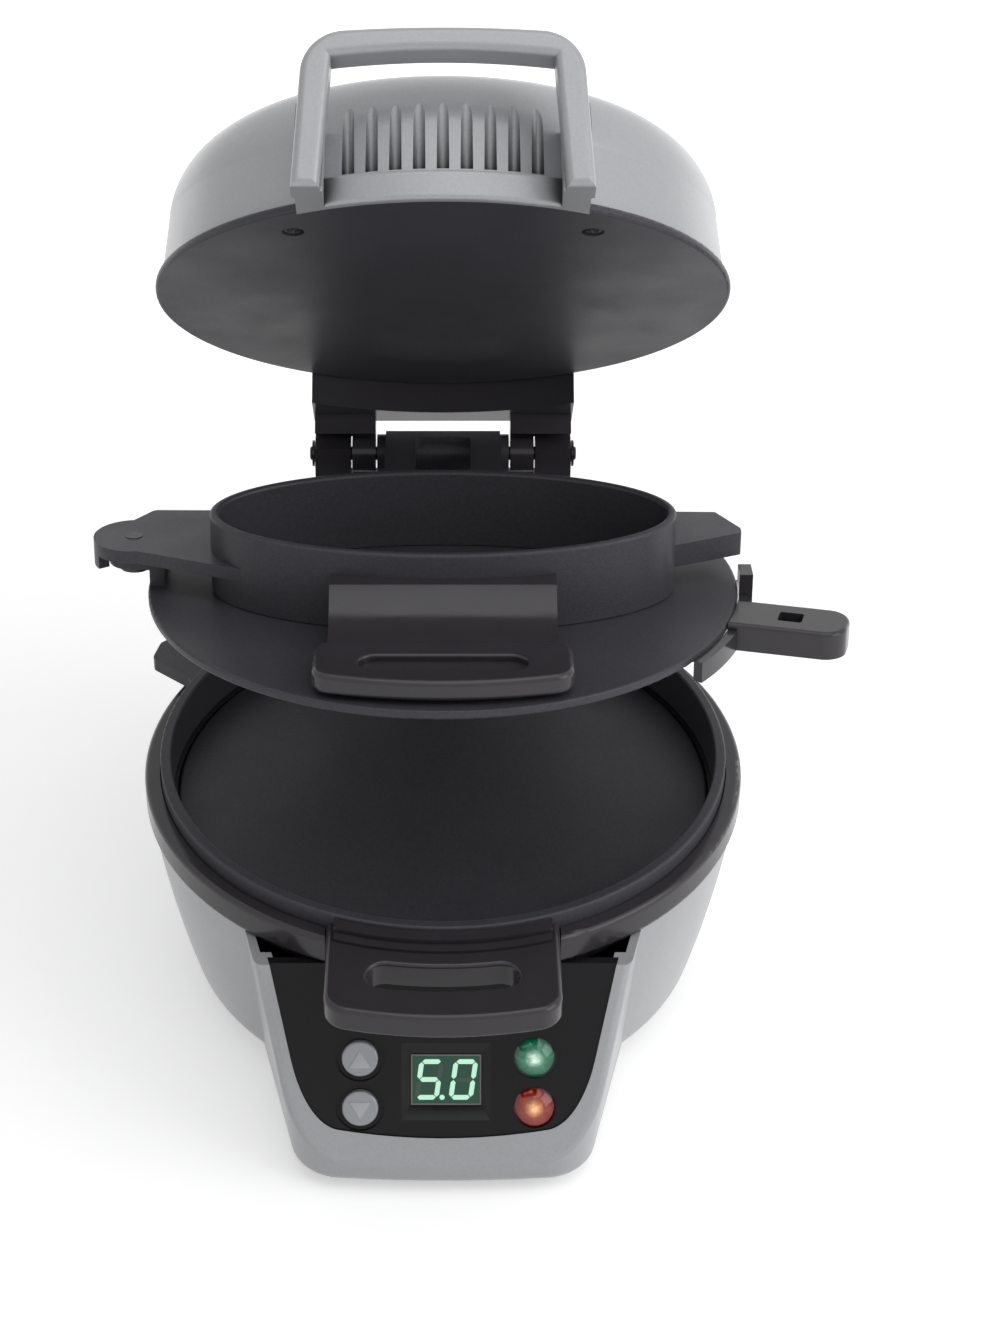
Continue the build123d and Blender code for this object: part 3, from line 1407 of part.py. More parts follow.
with BuildPart() as rib_pad:
    # thicker wall behind the ribs
    with BuildSketch(Plane.XY.offset(lip_z)):
        with Locations((0, -80)):
            Rectangle(rib_pitch * (rib_count - 1) + 1.5, 30)
        Circle(lid_wall_radius - rib_depth - 2, mode=Mode.SUBTRACT)
    extrude(amount=lid_wall_height + 9)
    add(dome(shell_wall / 2, lip_z), mode=Mode.INTERSECT)

with BuildPart() as lid_bosses:
    with BuildSketch(Plane.XY.offset(lip_z)):
        with Locations(*shell_boss_places):
            Circle(boss_radius)
    extrude(amount=lid_height)
    add(dome(shell_wall / 2, lip_z), mode=Mode.INTERSECT)

with BuildPart() as lid_shell:
    add(dome(0, lid_foot_z))
    add(dome(shell_wall, lid_foot_z - 1), mode=Mode.SUBTRACT)
    # way out for the frame's arms
    with BuildSketch(Plane.XY.offset(lid_foot_z)):
        with Locations((0, lid_wall_radius)):
            Rectangle(2 * (arm_outer_x + 0.5 + seam), 60)
    extrude(amount=lip_z + seam - lid_foot_z, mode=Mode.SUBTRACT)
    add(rib_pad.part)
    add(rib_cutter.part, mode=Mode.SUBTRACT)
    add(lid_bosses.part)
    with BuildSketch(Plane.XY.offset(lip_z)):
        with Locations(*shell_boss_places):
            Circle(screw_radius)
    extrude(amount=18, mode=Mode.SUBTRACT)
    with BuildSketch(front_plane.offset(lid_wall_radius - 25)):
        with Locations(*handle_screw_places):
            Circle(screw_radius + press)
    extrude(amount=40, mode=Mode.SUBTRACT)

with BuildPart() as lid_handle:
    # bail: a bar bowed upwards on two legs that splay to the feet
    foot_z = lid_z - lid_apron_drop
    bar_z = lid_z + lid_handle_height
    half_bar = lid_handle_width / 2
    with BuildSketch(front_plane.offset(-lid_handle_front_y)) as bail:
        with BuildLine():
            Polyline(
                (half_bar, bar_z - lid_handle_bow),
                (half_bar + lid_handle_splay, foot_z),
                (-half_bar - lid_handle_splay, foot_z),
                (-half_bar, bar_z - lid_handle_bow),
            )
            ThreePointArc((-half_bar, bar_z - lid_handle_bow), (0, bar_z), (half_bar, bar_z - lid_handle_bow))
        make_face()
        fillet(bail.vertices().group_by(Axis.Y)[-1], radius=lid_handle_corner)
        with BuildLine():
            Polyline(
                (half_bar - lid_handle_leg, bar_z - lid_handle_bow - lid_handle_bar),
                (half_bar + lid_handle_splay - lid_handle_leg, foot_z - 1),
                (lid_handle_leg - half_bar - lid_handle_splay, foot_z - 1),
                (lid_handle_leg - half_bar, bar_z - lid_handle_bow - lid_handle_bar),
            )
            ThreePointArc(
                (lid_handle_leg - half_bar, bar_z - lid_handle_bow - lid_handle_bar),
                (0, bar_z - lid_handle_bar),
                (half_bar - lid_handle_leg, bar_z - lid_handle_bow - lid_handle_bar),
            )
        make_face(mode=Mode.SUBTRACT)
        inner_corners = bail.vertices().filter_by(lambda v: abs(v.X) < half_bar - lid_handle_leg + 0.1)
        fillet(inner_corners.filter_by(lambda v: v.Z > bar_z - 14), radius=lid_handle_corner - lid_handle_leg)
    extrude(amount=-lid_handle_depth)
    bail_edges = lid_handle.faces().filter_by(Axis.Y).edges()
    fillet(bail_edges.filter_by(lambda e: e.length > 0.1), radius=lid_handle_round)
    # feet that run back to the lid's wall
    for side in (1, -1):
        with BuildSketch(Plane.YZ.offset(side * (foot_x - lid_handle_leg / 2))):
            with BuildLine():
                Polyline(
                    (lid_handle_front_y + 5, foot_z),
                    (-lid_wall_radius + 25, foot_z),
                    (-lid_wall_radius + 25, foot_z + lid_handle_foot_height),
                    (lid_handle_front_y + lid_handle_depth - 1, foot_z + lid_handle_foot_height + 9),
                    (lid_handle_front_y + 5, foot_z + lid_handle_foot_height),
                    close=True,
                )
            make_face()
        extrude(amount=side * lid_handle_leg)
    # apron that joins them in front of the plate's edge
    with BuildSketch(Plane.XY.offset(foot_z)):
        Circle(lid_plate_radius + 0.3 + lid_apron_thickness)
        with Locations((0, 0)):
            Rectangle(2 * foot_x, 4 * lid_plate_radius, align=(Align.CENTER, Align.MAX), mode=Mode.INTERSECT)
    extrude(amount=lid_apron_height)
    apron_edges = lid_handle.edges().filter_by(GeomType.CIRCLE).filter_by(
        lambda e: abs(e.length - 2 * foot_x) < 8 and e.radius > lid_plate_radius + lid_apron_thickness
    )
    fillet(apron_edges, radius=1.4)
    with BuildSketch(Plane.XY.offset(foot_z - 1)):
        Circle(lid_plate_radius + 0.3)
    extrude(amount=lid_foot_z - foot_z + 1, mode=Mode.SUBTRACT)
    add(dome(-seam, lid_foot_z - 1), mode=Mode.SUBTRACT)
    with BuildSketch(front_plane.offset(lid_wall_radius - 20)):
        with Locations(*handle_screw_places):
            Circle(screw_radius)
    extrude(amount=24, mode=Mode.SUBTRACT)

with BuildPart() as upper_reflector:
    with BuildSketch(Plane.XZ):
        with BuildLine():
            Polyline(
                (0, liner_z + 12),
                (element_radius + 6, liner_z + 12),
                (upper_reflector_radius - 3, liner_z + reflector_sheet),
                (upper_reflector_radius, liner_z + reflector_sheet),
                (upper_reflector_radius, liner_z),
                (upper_reflector_radius - 3.4, liner_z),
                (element_radius + 5.7, liner_z + 12 - reflector_sheet),
                (0, liner_z + 12 - reflector_sheet),
                close=True,
            )
        make_face()
    revolve(axis=Axis.Z)
    with BuildSketch(Plane.XY.offset(liner_z + 8)):
        with Locations(*element_ends):
            Circle(element_tube_radius + 0.5)
        with PolarLocations(plate_boss_radius, 3, start_angle=30):
            Circle(screw_radius + press)
    extrude(amount=10, mode=Mode.SUBTRACT)

with BuildPart() as upper_heating_element:
    add(tube_heater(upper_element_z, liner_z + 18))

with BuildPart() as upper_plate_screws:
    with BuildSketch(Plane.XY.offset(lid_z + 0.4)):
        with Locations(*shell_boss_places[:2]):
            Circle(2 * screw_radius)
    extrude(amount=1.2)
    with BuildSketch(Plane.XY.offset(lid_z + 1.6)):
        with Locations(*shell_boss_places[:2]):
            Circle(screw_radius)
    extrude(amount=14)

with BuildPart() as lid_screws:
    with BuildSketch(Plane.XY.offset(liner_z - 1.6)):
        with Locations(*shell_boss_places[2:]):
            Circle(2 * screw_radius)
    extrude(amount=1.6)
    with BuildSketch(Plane.XY.offset(liner_z)):
        with Locations(*shell_boss_places[2:]):
            Circle(screw_radius)
    extrude(amount=14)

# the heads stand inside the wall, clear of its curve
wall_inside_radius = lid_wall_radius - lid_wall_draft - shell_wall
handle_screw_y = sqrt(wall_inside_radius**2 - (foot_x + 2 * screw_radius) ** 2) - 0.6

with BuildPart() as lid_handle_screws:
    with BuildSketch(front_plane.offset(handle_screw_y - 2)):
        with Locations(*handle_screw_places):
            Circle(2 * screw_radius)
    extrude(amount=2)
    with BuildSketch(front_plane.offset(handle_screw_y)):
        with Locations(*handle_screw_places):
            Circle(screw_radius)
    extrude(amount=16)

with BuildPart() as upper_reflector_screws:
    with BuildSketch(Plane.XY.offset(liner_z + 12)):
        with PolarLocations(plate_boss_radius, 3, start_angle=30):
            Circle(2 * screw_radius)
    extrude(amount=1.8)
    with BuildSketch(Plane.XY.offset(liner_z + 12)):
        with PolarLocations(plate_boss_radius, 3, start_angle=30):
            Circle(screw_radius)
    extrude(amount=-9)

with BuildPart() as upper_thermostat:
    with BuildSketch(Plane.XY.offset(lid_z + lid_plate_thickness)):
        Circle(thermostat_radius)
    extrude(amount=7)
    with BuildSketch(Plane.XY.offset(lid_z + lid_plate_thickness + 7)):
        with Locations((-4, 0), (4, 0)):
            Rectangle(0.8, 5)
    extrude(amount=2)
    with BuildSketch(Plane.XY.offset(lid_z + lid_plate_thickness)):
        SlotOverall(30, 9)
    extrude(amount=1)

with BuildPart() as upper_thermal_fuse:
    with BuildSketch(Plane.YZ.offset(-9)):
        with Locations((fuse_y, lid_z + lid_plate_thickness + fuse_radius)):
            Circle(fuse_radius)
    extrude(amount=18)
    with BuildSketch(Plane.YZ.offset(-16)):
        with Locations((fuse_y, lid_z + lid_plate_thickness + fuse_radius)):
            Circle(0.6)
    extrude(amount=32)

# ---- the whole maker, in its raised pose -------------------------------------------------------------------
raised = {
    "base_shell": (base_shell, at_base),
    "base_rim": (base_rim, at_base),
    "base_pan": (base_pan, at_base),
    "pan_screws": (pan_screws, at_base),
    "rubber_feet": (rubber_feet, at_base),
    "lower_heating_plate": (lower_heating_plate, at_base),
    "lower_reflector": (lower_reflector, at_base),
    "lower_plate_screws": (lower_plate_screws, at_base),
    "lower_heating_element": (lower_heating_element, at_base),
    "lower_thermostat": (lower_thermostat, at_base),
    "lower_thermal_fuse": (lower_thermal_fuse, at_base),
    "power_board": (power_board, at_base),
    "power_board_screws": (power_board_screws, at_base),
    "cord_bush": (cord_bush, at_base),
    "control_panel": (control_panel, at_base),
    "display_window": (display_window, at_base),
    "display_module": (display_module, at_base),
    "control_board": (control_board, at_base),
    "board_screws": (board_screws, at_base),
    "tact_switches": (tact_switches, at_base),
    "indicator_leds": (indicator_leds, at_base),
    "green_lens": (green_lens, at_base),
    "red_lens": (red_lens, at_base),
    "hinge_tower": (hinge_tower, at_base),
    "tower_stop_pin": (tower_stop_pin, at_base),
    "tower_screws": (tower_screws, at_base),
    "up_button": (up_button, at_base),
    "down_button": (down_button, at_base),
    "hinge_yoke": (hinge_yoke, at_yoke),
    "hinge_rod": (hinge_rod, at_yoke),
    "rod_clips": (rod_clips, at_yoke),
    "lower_ring": (lower_ring, at_base),
    "lower_ring_handle": (lower_ring_handle, at_base),
    "ring_handle_screws": (ring_handle_screws, at_base),
    "cooking_plate": (cooking_plate, at_tray),
    "plate_handle": (plate_handle, at_tray),
    "plate_handle_screw": (plate_handle_screw, at_tray),
    "egg_ring": (egg_ring, at_tray),
    "egg_ring_handle": (egg_ring_handle, at_tray),
    "egg_handle_screws": (egg_handle_screws, at_tray),
    "plate_pivot_pin": (plate_pivot_pin, at_tray),
    "upper_heating_plate": (upper_heating_plate, at_lid),
    "lid_frame": (lid_frame, at_lid),
    "lid_shell": (lid_shell, at_lid),
    "lid_handle": (lid_handle, at_lid),
    "upper_reflector": (upper_reflector, at_lid),
    "upper_heating_element": (upper_heating_element, at_lid),
    "upper_plate_screws": (upper_plate_screws, at_lid),
    "lid_screws": (lid_screws, at_lid),
    "lid_handle_screws": (lid_handle_screws, at_lid),
    "upper_reflector_screws": (upper_reflector_screws, at_lid),
    "upper_thermostat": (upper_thermostat, at_lid),
    "upper_thermal_fuse": (upper_thermal_fuse, at_lid),
}

os.makedirs("parts", exist_ok=True)
for name, (piece, place) in raised.items():
    placed = piece.part.moved(place)
    placed.label = name
    export_step(placed, f"parts/{name}.step")
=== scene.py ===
from math import cos, pi, radians, sin

import bmesh
import bpy
from bpy.props import FloatProperty, FloatVectorProperty, PointerProperty
from mathutils import Matrix, Vector


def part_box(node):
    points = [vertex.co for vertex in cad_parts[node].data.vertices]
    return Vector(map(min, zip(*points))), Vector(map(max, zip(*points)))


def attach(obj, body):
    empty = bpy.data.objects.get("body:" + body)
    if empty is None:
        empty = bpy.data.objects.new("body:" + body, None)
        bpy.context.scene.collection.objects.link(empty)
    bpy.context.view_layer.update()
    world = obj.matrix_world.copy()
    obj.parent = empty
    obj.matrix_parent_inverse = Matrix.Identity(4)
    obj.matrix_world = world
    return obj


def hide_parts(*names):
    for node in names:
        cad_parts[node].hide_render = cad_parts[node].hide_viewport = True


bl_info = {
    "name": "Breakfast Sandwich Maker",
    "version": (1, 0, 0),
    "blender": (4, 5, 0),
    "location": "View3D > Sidebar > Sandwich Maker",
    "description": "Finishes, small fittings and studio for a floating-hinge breakfast sandwich maker",
    "category": "Object",
}

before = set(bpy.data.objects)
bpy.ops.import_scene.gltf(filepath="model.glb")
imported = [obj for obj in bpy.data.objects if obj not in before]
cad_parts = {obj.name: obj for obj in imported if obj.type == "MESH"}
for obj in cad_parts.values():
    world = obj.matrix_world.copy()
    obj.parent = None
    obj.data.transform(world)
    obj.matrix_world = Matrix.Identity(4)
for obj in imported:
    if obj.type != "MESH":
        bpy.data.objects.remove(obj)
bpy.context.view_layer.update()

MM = 0.001
# where the round body's axis meets the table
griddle_low, griddle_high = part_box("lower_heating_plate")
BODY_AXIS = Vector((*((griddle_low + griddle_high) / 2).xy, 0))
# rod of the rear hinge, from the body's axis: with the maker closed, and raised
ROD_CLOSED = Vector((0, 0.1065, 0.100))
ROD_RAISED = Vector((0, 0.1065, 0.146))
# the sloped panel: its lean from upright, and the middle of its low edge
PANEL_SLOPE = radians(26.565)
PANEL_ORIGIN = BODY_AXIS + Vector((0, -0.127, 0.016))
UP_THE_PANEL = Vector((0, sin(PANEL_SLOPE), cos(PANEL_SLOPE)))
OUT_OF_PANEL = Vector((0, -cos(PANEL_SLOPE), sin(PANEL_SLOPE)))
# levels out of the panel's silver border, in millimetres
BUTTON_TOP = 0.6
LENS_TOP = 2.4
FILTER_FACE = -3.4
# half the window that the display shows through, and the width of its polished edge, in millimetres
WINDOW_HALF = (11.65, 8.65)
WINDOW_EDGE = 0.55
# each digit's lit segments, and its middle to the right of the window's
DIGITS = (("afgcd", -5.6), ("abcdef", 5.7))
# angles at rest: the lid's and the egg ring's about the rod, and the plate's handle's about the upright
LID_ANGLE = radians(47)
TRAY_ANGLE = radians(10)
PLATE_HANDLE_TURN = radians(-15)
# the camera: its lens, its pitch downward, and its place from the body's axis, in metres
LENS_MM = 79.5
CAMERA_PITCH = radians(35.5)
CAMERA_PLACE = Vector((0, -0.8239, 0.7129))
# a Mix node that multiplies its two colours
MULTIPLIED = {"data_type": "RGBA", "blend_type": "MULTIPLY"}


# ---- colours and nodes --------------------------------------------------------------------------------
def linear(hex_colour):
    """An sRGB hex colour such as "#A9ABAD" as linear RGBA."""
    channels = [int(hex_colour[i:i + 2], 16) / 255 for i in (1, 3, 5)]
    return [c / 12.92 if c <= 0.04045 else ((c + 0.055) / 1.055) ** 2.4 for c in channels] + [1.0]


def grain(size_mm):
    """Texture scale whose cells are that many millimetres across, in object coordinates."""
    return 1 / (size_mm * MM)


def add_node(tree, kind, inputs=None, **settings):
    """Adds a node with its settings, and sets or links its inputs."""
    node = tree.nodes.new(kind)
    for name, value in settings.items():
        setattr(node, name, value)
    for socket, value in (inputs or {}).items():
        if isinstance(value, bpy.types.NodeSocket):
            tree.links.new(value, node.inputs[socket])
        else:
            node.inputs[socket].default_value = value
    return node


def start_material(name, **shader):
    """A new material with a Principled shader; returns it, its tree, the shader and object coordinates."""
    material = bpy.data.materials.new(name)
    material.use_nodes = True
    tree = material.node_tree
    tree.nodes.clear()
    surface = add_node(tree, "ShaderNodeBsdfPrincipled", {k.replace("_", " "): v for k, v in shader.items()})
    add_node(tree, "ShaderNodeOutputMaterial", {"Surface": surface.outputs[0]})
    place = add_node(tree, "ShaderNodeTexCoord").outputs["Object"]
    return material, tree, surface, place


def toned(tree, place, colour, cell_mm, low, high, pattern="ShaderNodeTexNoise"):
    """A colour that varies between two shares of itself, over cells of a size."""
    cells = add_node(tree, pattern, {"Vector": place, "Scale": grain(cell_mm)})
    parts = add_node(tree, "ShaderNodeSeparateColor", {"Color": cells.outputs["Color"]})
    tone = add_node(tree, "ShaderNodeMapRange", {"Value": parts.outputs[0], "To Min": low, "To Max": high})
    mixed = add_node(tree, "ShaderNodeMix", {0: 1.0, 6: colour, 7: tone.outputs[0]}, **MULTIPLIED)
    return mixed.outputs[2]


def painted_recess_shade(tree, colour, reach_mm, deepest):
    """Painted shade: darkens a colour inside recesses narrower than its reach, where shade falls, down to a
    share of it in the deepest.
    """
    open_share = add_node(
        tree, "ShaderNodeAmbientOcclusion", {"Distance": reach_mm * MM}, only_local=True, samples=8
    )
    shade = add_node(
        tree,
        "ShaderNodeMapRange",
        {"Value": open_share.outputs["AO"], "From Min": 0.35, "From Max": 0.85, "To Min": deepest},
        interpolation_type="SMOOTHSTEP",
    )
    mixed = add_node(tree, "ShaderNodeMix", {0: 1.0, 6: colour, 7: shade.outputs[0]}, **MULTIPLIED)
    return mixed.outputs[2]


def textured(tree, surface, place, cell_mm, strength, depth_mm, detail=2.0):
    """Gives a shader a fine bump of a real depth."""
    noise = add_node(
        tree, "ShaderNodeTexNoise", {"Vector": place, "Scale": grain(cell_mm), "Detail": detail}
    )
    bump = add_node(
        tree, "ShaderNodeBump", {"Height": noise.outputs[0], "Strength": strength, "Distance": depth_mm * MM}
    )
    tree.links.new(bump.outputs[0], surface.inputs["Normal"])


def varied_roughness(tree, surface, place, cell_mm, low, high):
    """Lets a shader's roughness wander between two values."""
    noise = add_node(tree, "ShaderNodeTexNoise", {"Vector": place, "Scale": grain(cell_mm), "Detail": 4.0})
    spread = add_node(
        tree,
        "ShaderNodeMapRange",
        {"Value": noise.outputs[0], "From Min": 0.3, "From Max": 0.7, "To Min": low, "To Max": high},
    )
    tree.links.new(spread.outputs[0], surface.inputs["Roughness"])


def seen_share(tree):
    """One for rays from the camera, from a gloss and through a clear body, and nothing for the others."""
    rays = add_node(tree, "ShaderNodeLightPath").outputs
    seen = rays["Is Camera Ray"]
    for kind in ("Is Glossy Ray", "Is Transmission Ray"):
        seen = add_node(tree, "ShaderNodeMath", {0: seen, 1: rays[kind]}, operation="MAXIMUM").outputs[0]
    return seen


# ---- sizes and colours --------------------------------------------------------------------------------
def colour_field(name, description, hex_colour):
    """A colour property that starts from an sRGB hex value."""
    return FloatVectorProperty(
        name=name, description=description, default=linear(hex_colour), size=4, min=0, max=1, subtype="COLOR"
    )


def length_field(name, description, size_mm):
    """A length property that starts from a size in millimetres."""
    return FloatProperty(name=name, description=description, default=size_mm * MM, min=0, unit="LENGTH")


class SandwichMakerColours(bpy.types.PropertyGroup):
    """Colours of the finishes."""

    silver: colour_field("Silver lacquer", "Bowl, lid and lid handle", "#A9AAAD")
    black: colour_field("Black plastic", "Handles, rim and hinge", "#383539")
    panel: colour_field("Control panel", "Polished panel round the display", "#1A181B")
    coating: colour_field("Non-stick coating", "Griddle, plates and rings", "#434247")
    button: colour_field("Button caps", "Moulded button caps and their arrows", "#9B9DA1")
    filter: colour_field("Display filter", "Face of the display behind its digits", "#0B3A29")
    lit: colour_field("Lit segments", "Lit segments of the display", "#C4F7DA")
    unlit: colour_field("Unlit segments", "Segments that are off", "#3C5745")
    green: colour_field("Green lens", "Ready light", "#0F5A40")
    red: colour_field("Red lens", "Power light", "#74140A")
    steel: colour_field("Zinc-plated steel", "Screws out of sight", "#B5B5B2")


class SandwichMakerSizes(bpy.types.PropertyGroup):
    """Sizes of the small fittings."""

    digit_height: length_field("Digit height", "Between the middles of its end segments", 12.2)
    digit_stroke: length_field("Segment width", "Across one segment of a digit", 1.6)
    digit_slant: FloatProperty(
        name="Digit slant", description="Lean of a digit to the right", default=radians(8), subtype="ANGLE"
    )
    arrow_width: length_field("Arrow width", "Across the arrow raised on a button", 7.4)
    screw_head: length_field("Screw head", "Radius of a cross-recessed head", 3.1)


# ---- finishes -----------------------------------------------------------------------------------------
def silver_lacquer(colours):
    """Metallic lacquer sprayed on moulded ABS: a satin silver with a fine aluminium flake, and painted shade
    in its grooves.
    """
    material, tree, surface, place = start_material(
        "Silver_lacquer_on_ABS", Metallic=0.15, IOR=1.5, Coat_Weight=0.25, Coat_Roughness=0.25
    )
    # flakes are near 0.05 mm; drawn 0.6 mm across so that they show
    flake = toned(tree, place, colours.silver, 0.6, 0.96, 1.035, "ShaderNodeTexVoronoi")
    # painted shade: the colour is darkened in the grooves between the ribs, where shade falls
    tree.links.new(painted_recess_shade(tree, flake, 9, 0.08), surface.inputs["Base Color"])
    varied_roughness(tree, surface, place, 30, 0.31, 0.38)
    # orange peel of the sprayed coat
    textured(tree, surface, place, 1.6, 0.08, 0.15)
    return material


def black_plastic(colours):
    """Glass-filled phenolic, moulded: satin gloss, with the faint flow and grain of the mould, and painted
    shade in its recesses.
    """
    material, tree, surface, place = start_material(
        "Moulded_black_phenolic", IOR=1.5, Specular_IOR_Level=0.35
    )
    tone = toned(tree, place, colours.black, 12, 0.9, 1.12)
    # painted shade: the colour is darkened in recesses narrower than 5 mm, where shade falls
    tree.links.new(painted_recess_shade(tree, tone, 5, 0.4), surface.inputs["Base Color"])
    varied_roughness(tree, surface, place, 9, 0.16, 0.22)
    # spark-eroded mould grain is 0.1 mm; drawn 2.5 mm so that it shows
    textured(tree, surface, place, 2.5, 0.1, 0.05, 0.0)
    return material


def polished_panel(colours):
    """Polished black polycarbonate of the control panel: glossy, with very slight waves."""
    material, tree, surface, place = start_material(
        "Polished_black_polycarbonate", IOR=1.58, Specular_IOR_Level=0.15
    )
    tree.links.new(toned(tree, place, colours.panel, 20, 0.9, 1.05), surface.inputs["Base Color"])
    varied_roughness(tree, surface, place, 15, 0.12, 0.17)
    textured(tree, surface, place, 9, 0.05, 0.1)
    return material


def non_stick(colours):
    """PTFE coating sprayed on cast aluminium: dark grey, satin, with a fine speckle."""
    material, tree, surface, place = start_material(
        "PTFE_coated_aluminium", Metallic=0.1, IOR=1.4, Specular_IOR_Level=0.3
    )
    # mica in the coating is 0.1 mm; drawn 0.5 mm so that it shows
    speckle = toned(tree, place, colours.coating, 0.5, 0.88, 1.14, "ShaderNodeTexVoronoi")
    tree.links.new(speckle, surface.inputs["Base Color"])
    varied_roughness(tree, surface, place, 22, 0.36, 0.46)
    textured(tree, surface, place, 0.6, 0.12, 0.04, 3.0)
    return material


def zinc_steel(colours):
    """Zinc-plated steel of the screws out of sight: a cool grey metal, unevenly bright."""
    material, tree, surface, place = start_material("Zinc_plated_steel", Metallic=1.0)
    tree.links.new(toned(tree, place, colours.steel, 0.8, 0.9, 1.05), surface.inputs["Base Color"])
    varied_roughness(tree, surface, place, 1.2, 0.26, 0.4)
    return material


def blackened_steel(colours):
    """Black-oxide steel of the rod, pins and visible screws: near black, with an oiled sheen."""
    material, tree, surface, place = start_material("Black_oxide_steel", Metallic=0.8)
    tree.links.new(toned(tree, place, linear("#3E3C3D"), 0.8, 0.85, 1.15), surface.inputs["Base Color"])
    varied_roughness(tree, surface, place, 1.5, 0.28, 0.42)
    return material


def mill_aluminium(colours):
    """Mill-finish aluminium sheet of the reflectors: bright, with soft rolling marks."""
    material, tree, surface, place = start_material("Mill_aluminium_sheet", Metallic=1.0)
    stretch = add_node(tree, "ShaderNodeMapping", {"Vector": place, "Scale": (0.06, 1.0, 1.0)})
    rolled = toned(tree, stretch.outputs[0], linear("#D8D8D9"), 0.5, 0.88, 1.04)
    tree.links.new(rolled, surface.inputs["Base Color"])
    varied_roughness(tree, surface, place, 6, 0.25, 0.38)
    return material


def nitrile_rubber(colours):
    """Black nitrile rubber of the feet and the cord's sleeve: dull, with a dusty bloom."""
    material, tree, surface, place = start_material("Black_nitrile_rubber", IOR=1.52)
    tree.links.new(toned(tree, place, linear("#1F1F20"), 4, 0.85, 1.25), surface.inputs["Base Color"])
    varied_roughness(tree, surface, place, 3, 0.7, 0.85)
    textured(tree, surface, place, 0.5, 0.2, 0.05)
    return material


def matt_polypropylene(colours):
    """Black polypropylene of the floor pan, moulded with a coarse sand-blast grain: dull and dark."""
    material, tree, surface, place = start_material("Matt_black_polypropylene", IOR=1.49)
    tree.links.new(toned(tree, place, linear("#262628"), 5, 0.9, 1.1), surface.inputs["Base Color"])
    varied_roughness(tree, surface, place, 4, 0.55, 0.65)
    textured(tree, surface, place, 0.8, 0.3, 0.08, 3.0)
    return material


def solder_mask(colours):
    """Glass-fibre board under green solder mask: satin, with a woven tint."""
    material, tree, surface, place = start_material("Green_solder_mask", IOR=1.5)
    tree.links.new(toned(tree, place, linear("#1C5A38"), 1.0, 0.85, 1.15), surface.inputs["Base Color"])
    varied_roughness(tree, surface, place, 3, 0.35, 0.45)
    return material


def steatite(colours):
    """White steatite of the thermostats and fuses: chalky, slightly uneven."""
    material, tree, surface, place = start_material("White_steatite", IOR=1.56)
    tree.links.new(toned(tree, place, linear("#DAD7CC"), 2, 0.93, 1.04), surface.inputs["Base Color"])
    varied_roughness(tree, surface, place, 2, 0.5, 0.6)
    return material


def lacquered_cap(name, colours, share):
    """Grey satin lacquer on a moulded button cap, at a share of its colour."""
    material, tree, surface, place = start_material(name, Metallic=0.3, IOR=1.5)
    cap = toned(tree, place, colours.button, 0.6, 0.95 * share, 1.05 * share)
    tree.links.new(cap, surface.inputs["Base Color"])
    varied_roughness(tree, surface, place, 3, 0.3, 0.4)
    textured(tree, surface, place, 1.2, 0.06, 0.1)
    return material


def display_filter(colours):
    """Dark green acrylic filter over the display: glossy, with a dim glow behind it."""
    material, tree, surface, place = start_material("Green_acrylic_filter", IOR=1.49, Emission_Strength=0.5)
    glow = toned(tree, place, colours.filter, 4, 0.85, 1.2)
    tree.links.new(glow, surface.inputs["Base Color"])
    tree.links.new(glow, surface.inputs["Emission Color"])
    varied_roughness(tree, surface, place, 6, 0.12, 0.18)
    return material


def segment_light(name, colour, strength):
    """Diffused light of a display segment: even, and a little brighter in patches."""
    material, tree, surface, place = start_material(name, Roughness=0.5, Emission_Strength=strength)
    glow = toned(tree, place, colour, 1.5, 0.92, 1.05)
    tree.links.new(glow, surface.inputs["Emission Color"])
    surface.inputs["Base Color"].default_value = (0, 0, 0, 1)
    return material


def acrylic_edge_painted_highlight(colours):
    """Polished edge of the acrylic filter, glossy, with its pale colour a painted highlight: it shows as a
    thin pale line.
    """
    material, tree, surface, place = start_material("Polished_acrylic_edge", IOR=1.49)
    # painted highlight: the pale grey colour stands in for the light that the polished edge catches
    tree.links.new(toned(tree, place, linear("#77706F"), 2, 0.9, 1.1), surface.inputs["Base Color"])
    varied_roughness(tree, surface, place, 3, 0.08, 0.14)
    return material


def lamp_lens(name, colour, hot, centre):
    """Tinted acrylic lens with a lamp behind it: dark at the rim, bright where the lamp shines."""
    material, tree, surface, place = start_material(
        name, Roughness=0.08, IOR=1.49, Coat_Weight=0.15, Coat_Roughness=0.04, Emission_Strength=0.6
    )
    reach = add_node(tree, "ShaderNodeVectorMath", {0: place, 1: centre}, operation="DISTANCE")
    hot_spot, rim = 0.4 * MM, 7.4 * MM
    fall = add_node(
        tree, "ShaderNodeMapRange", {"Value": reach.outputs["Value"], "From Min": hot_spot, "From Max": rim}
    )
    ramp = add_node(tree, "ShaderNodeValToRGB", {"Fac": fall.outputs[0]})
    ramp.color_ramp.elements[0].color = linear(hot)
    ramp.color_ramp.elements[1].color = [0.12 * c for c in colour[:3]] + [1]
    # the lamp's share of the colour at places on the way to the rim
    for reached, share in ((0.22, 0.35), (0.42, 0.06), (0.72, 0.0)):
        step = ramp.color_ramp.elements.new(reached)
        step.color = [share * a + (1 - share) * b for a, b in zip(linear(hot), colour)]
    # facets moulded inside the lens, 1.5 mm across, break the light up
    glow = toned(tree, place, ramp.outputs[0], 1.5, 0.7, 1.15, "ShaderNodeTexVoronoi")
    tree.links.new(glow, surface.inputs["Base Color"])
    tree.links.new(glow, surface.inputs["Emission Color"])
    textured(tree, surface, place, 2.2, 0.2, 0.3)
    return material


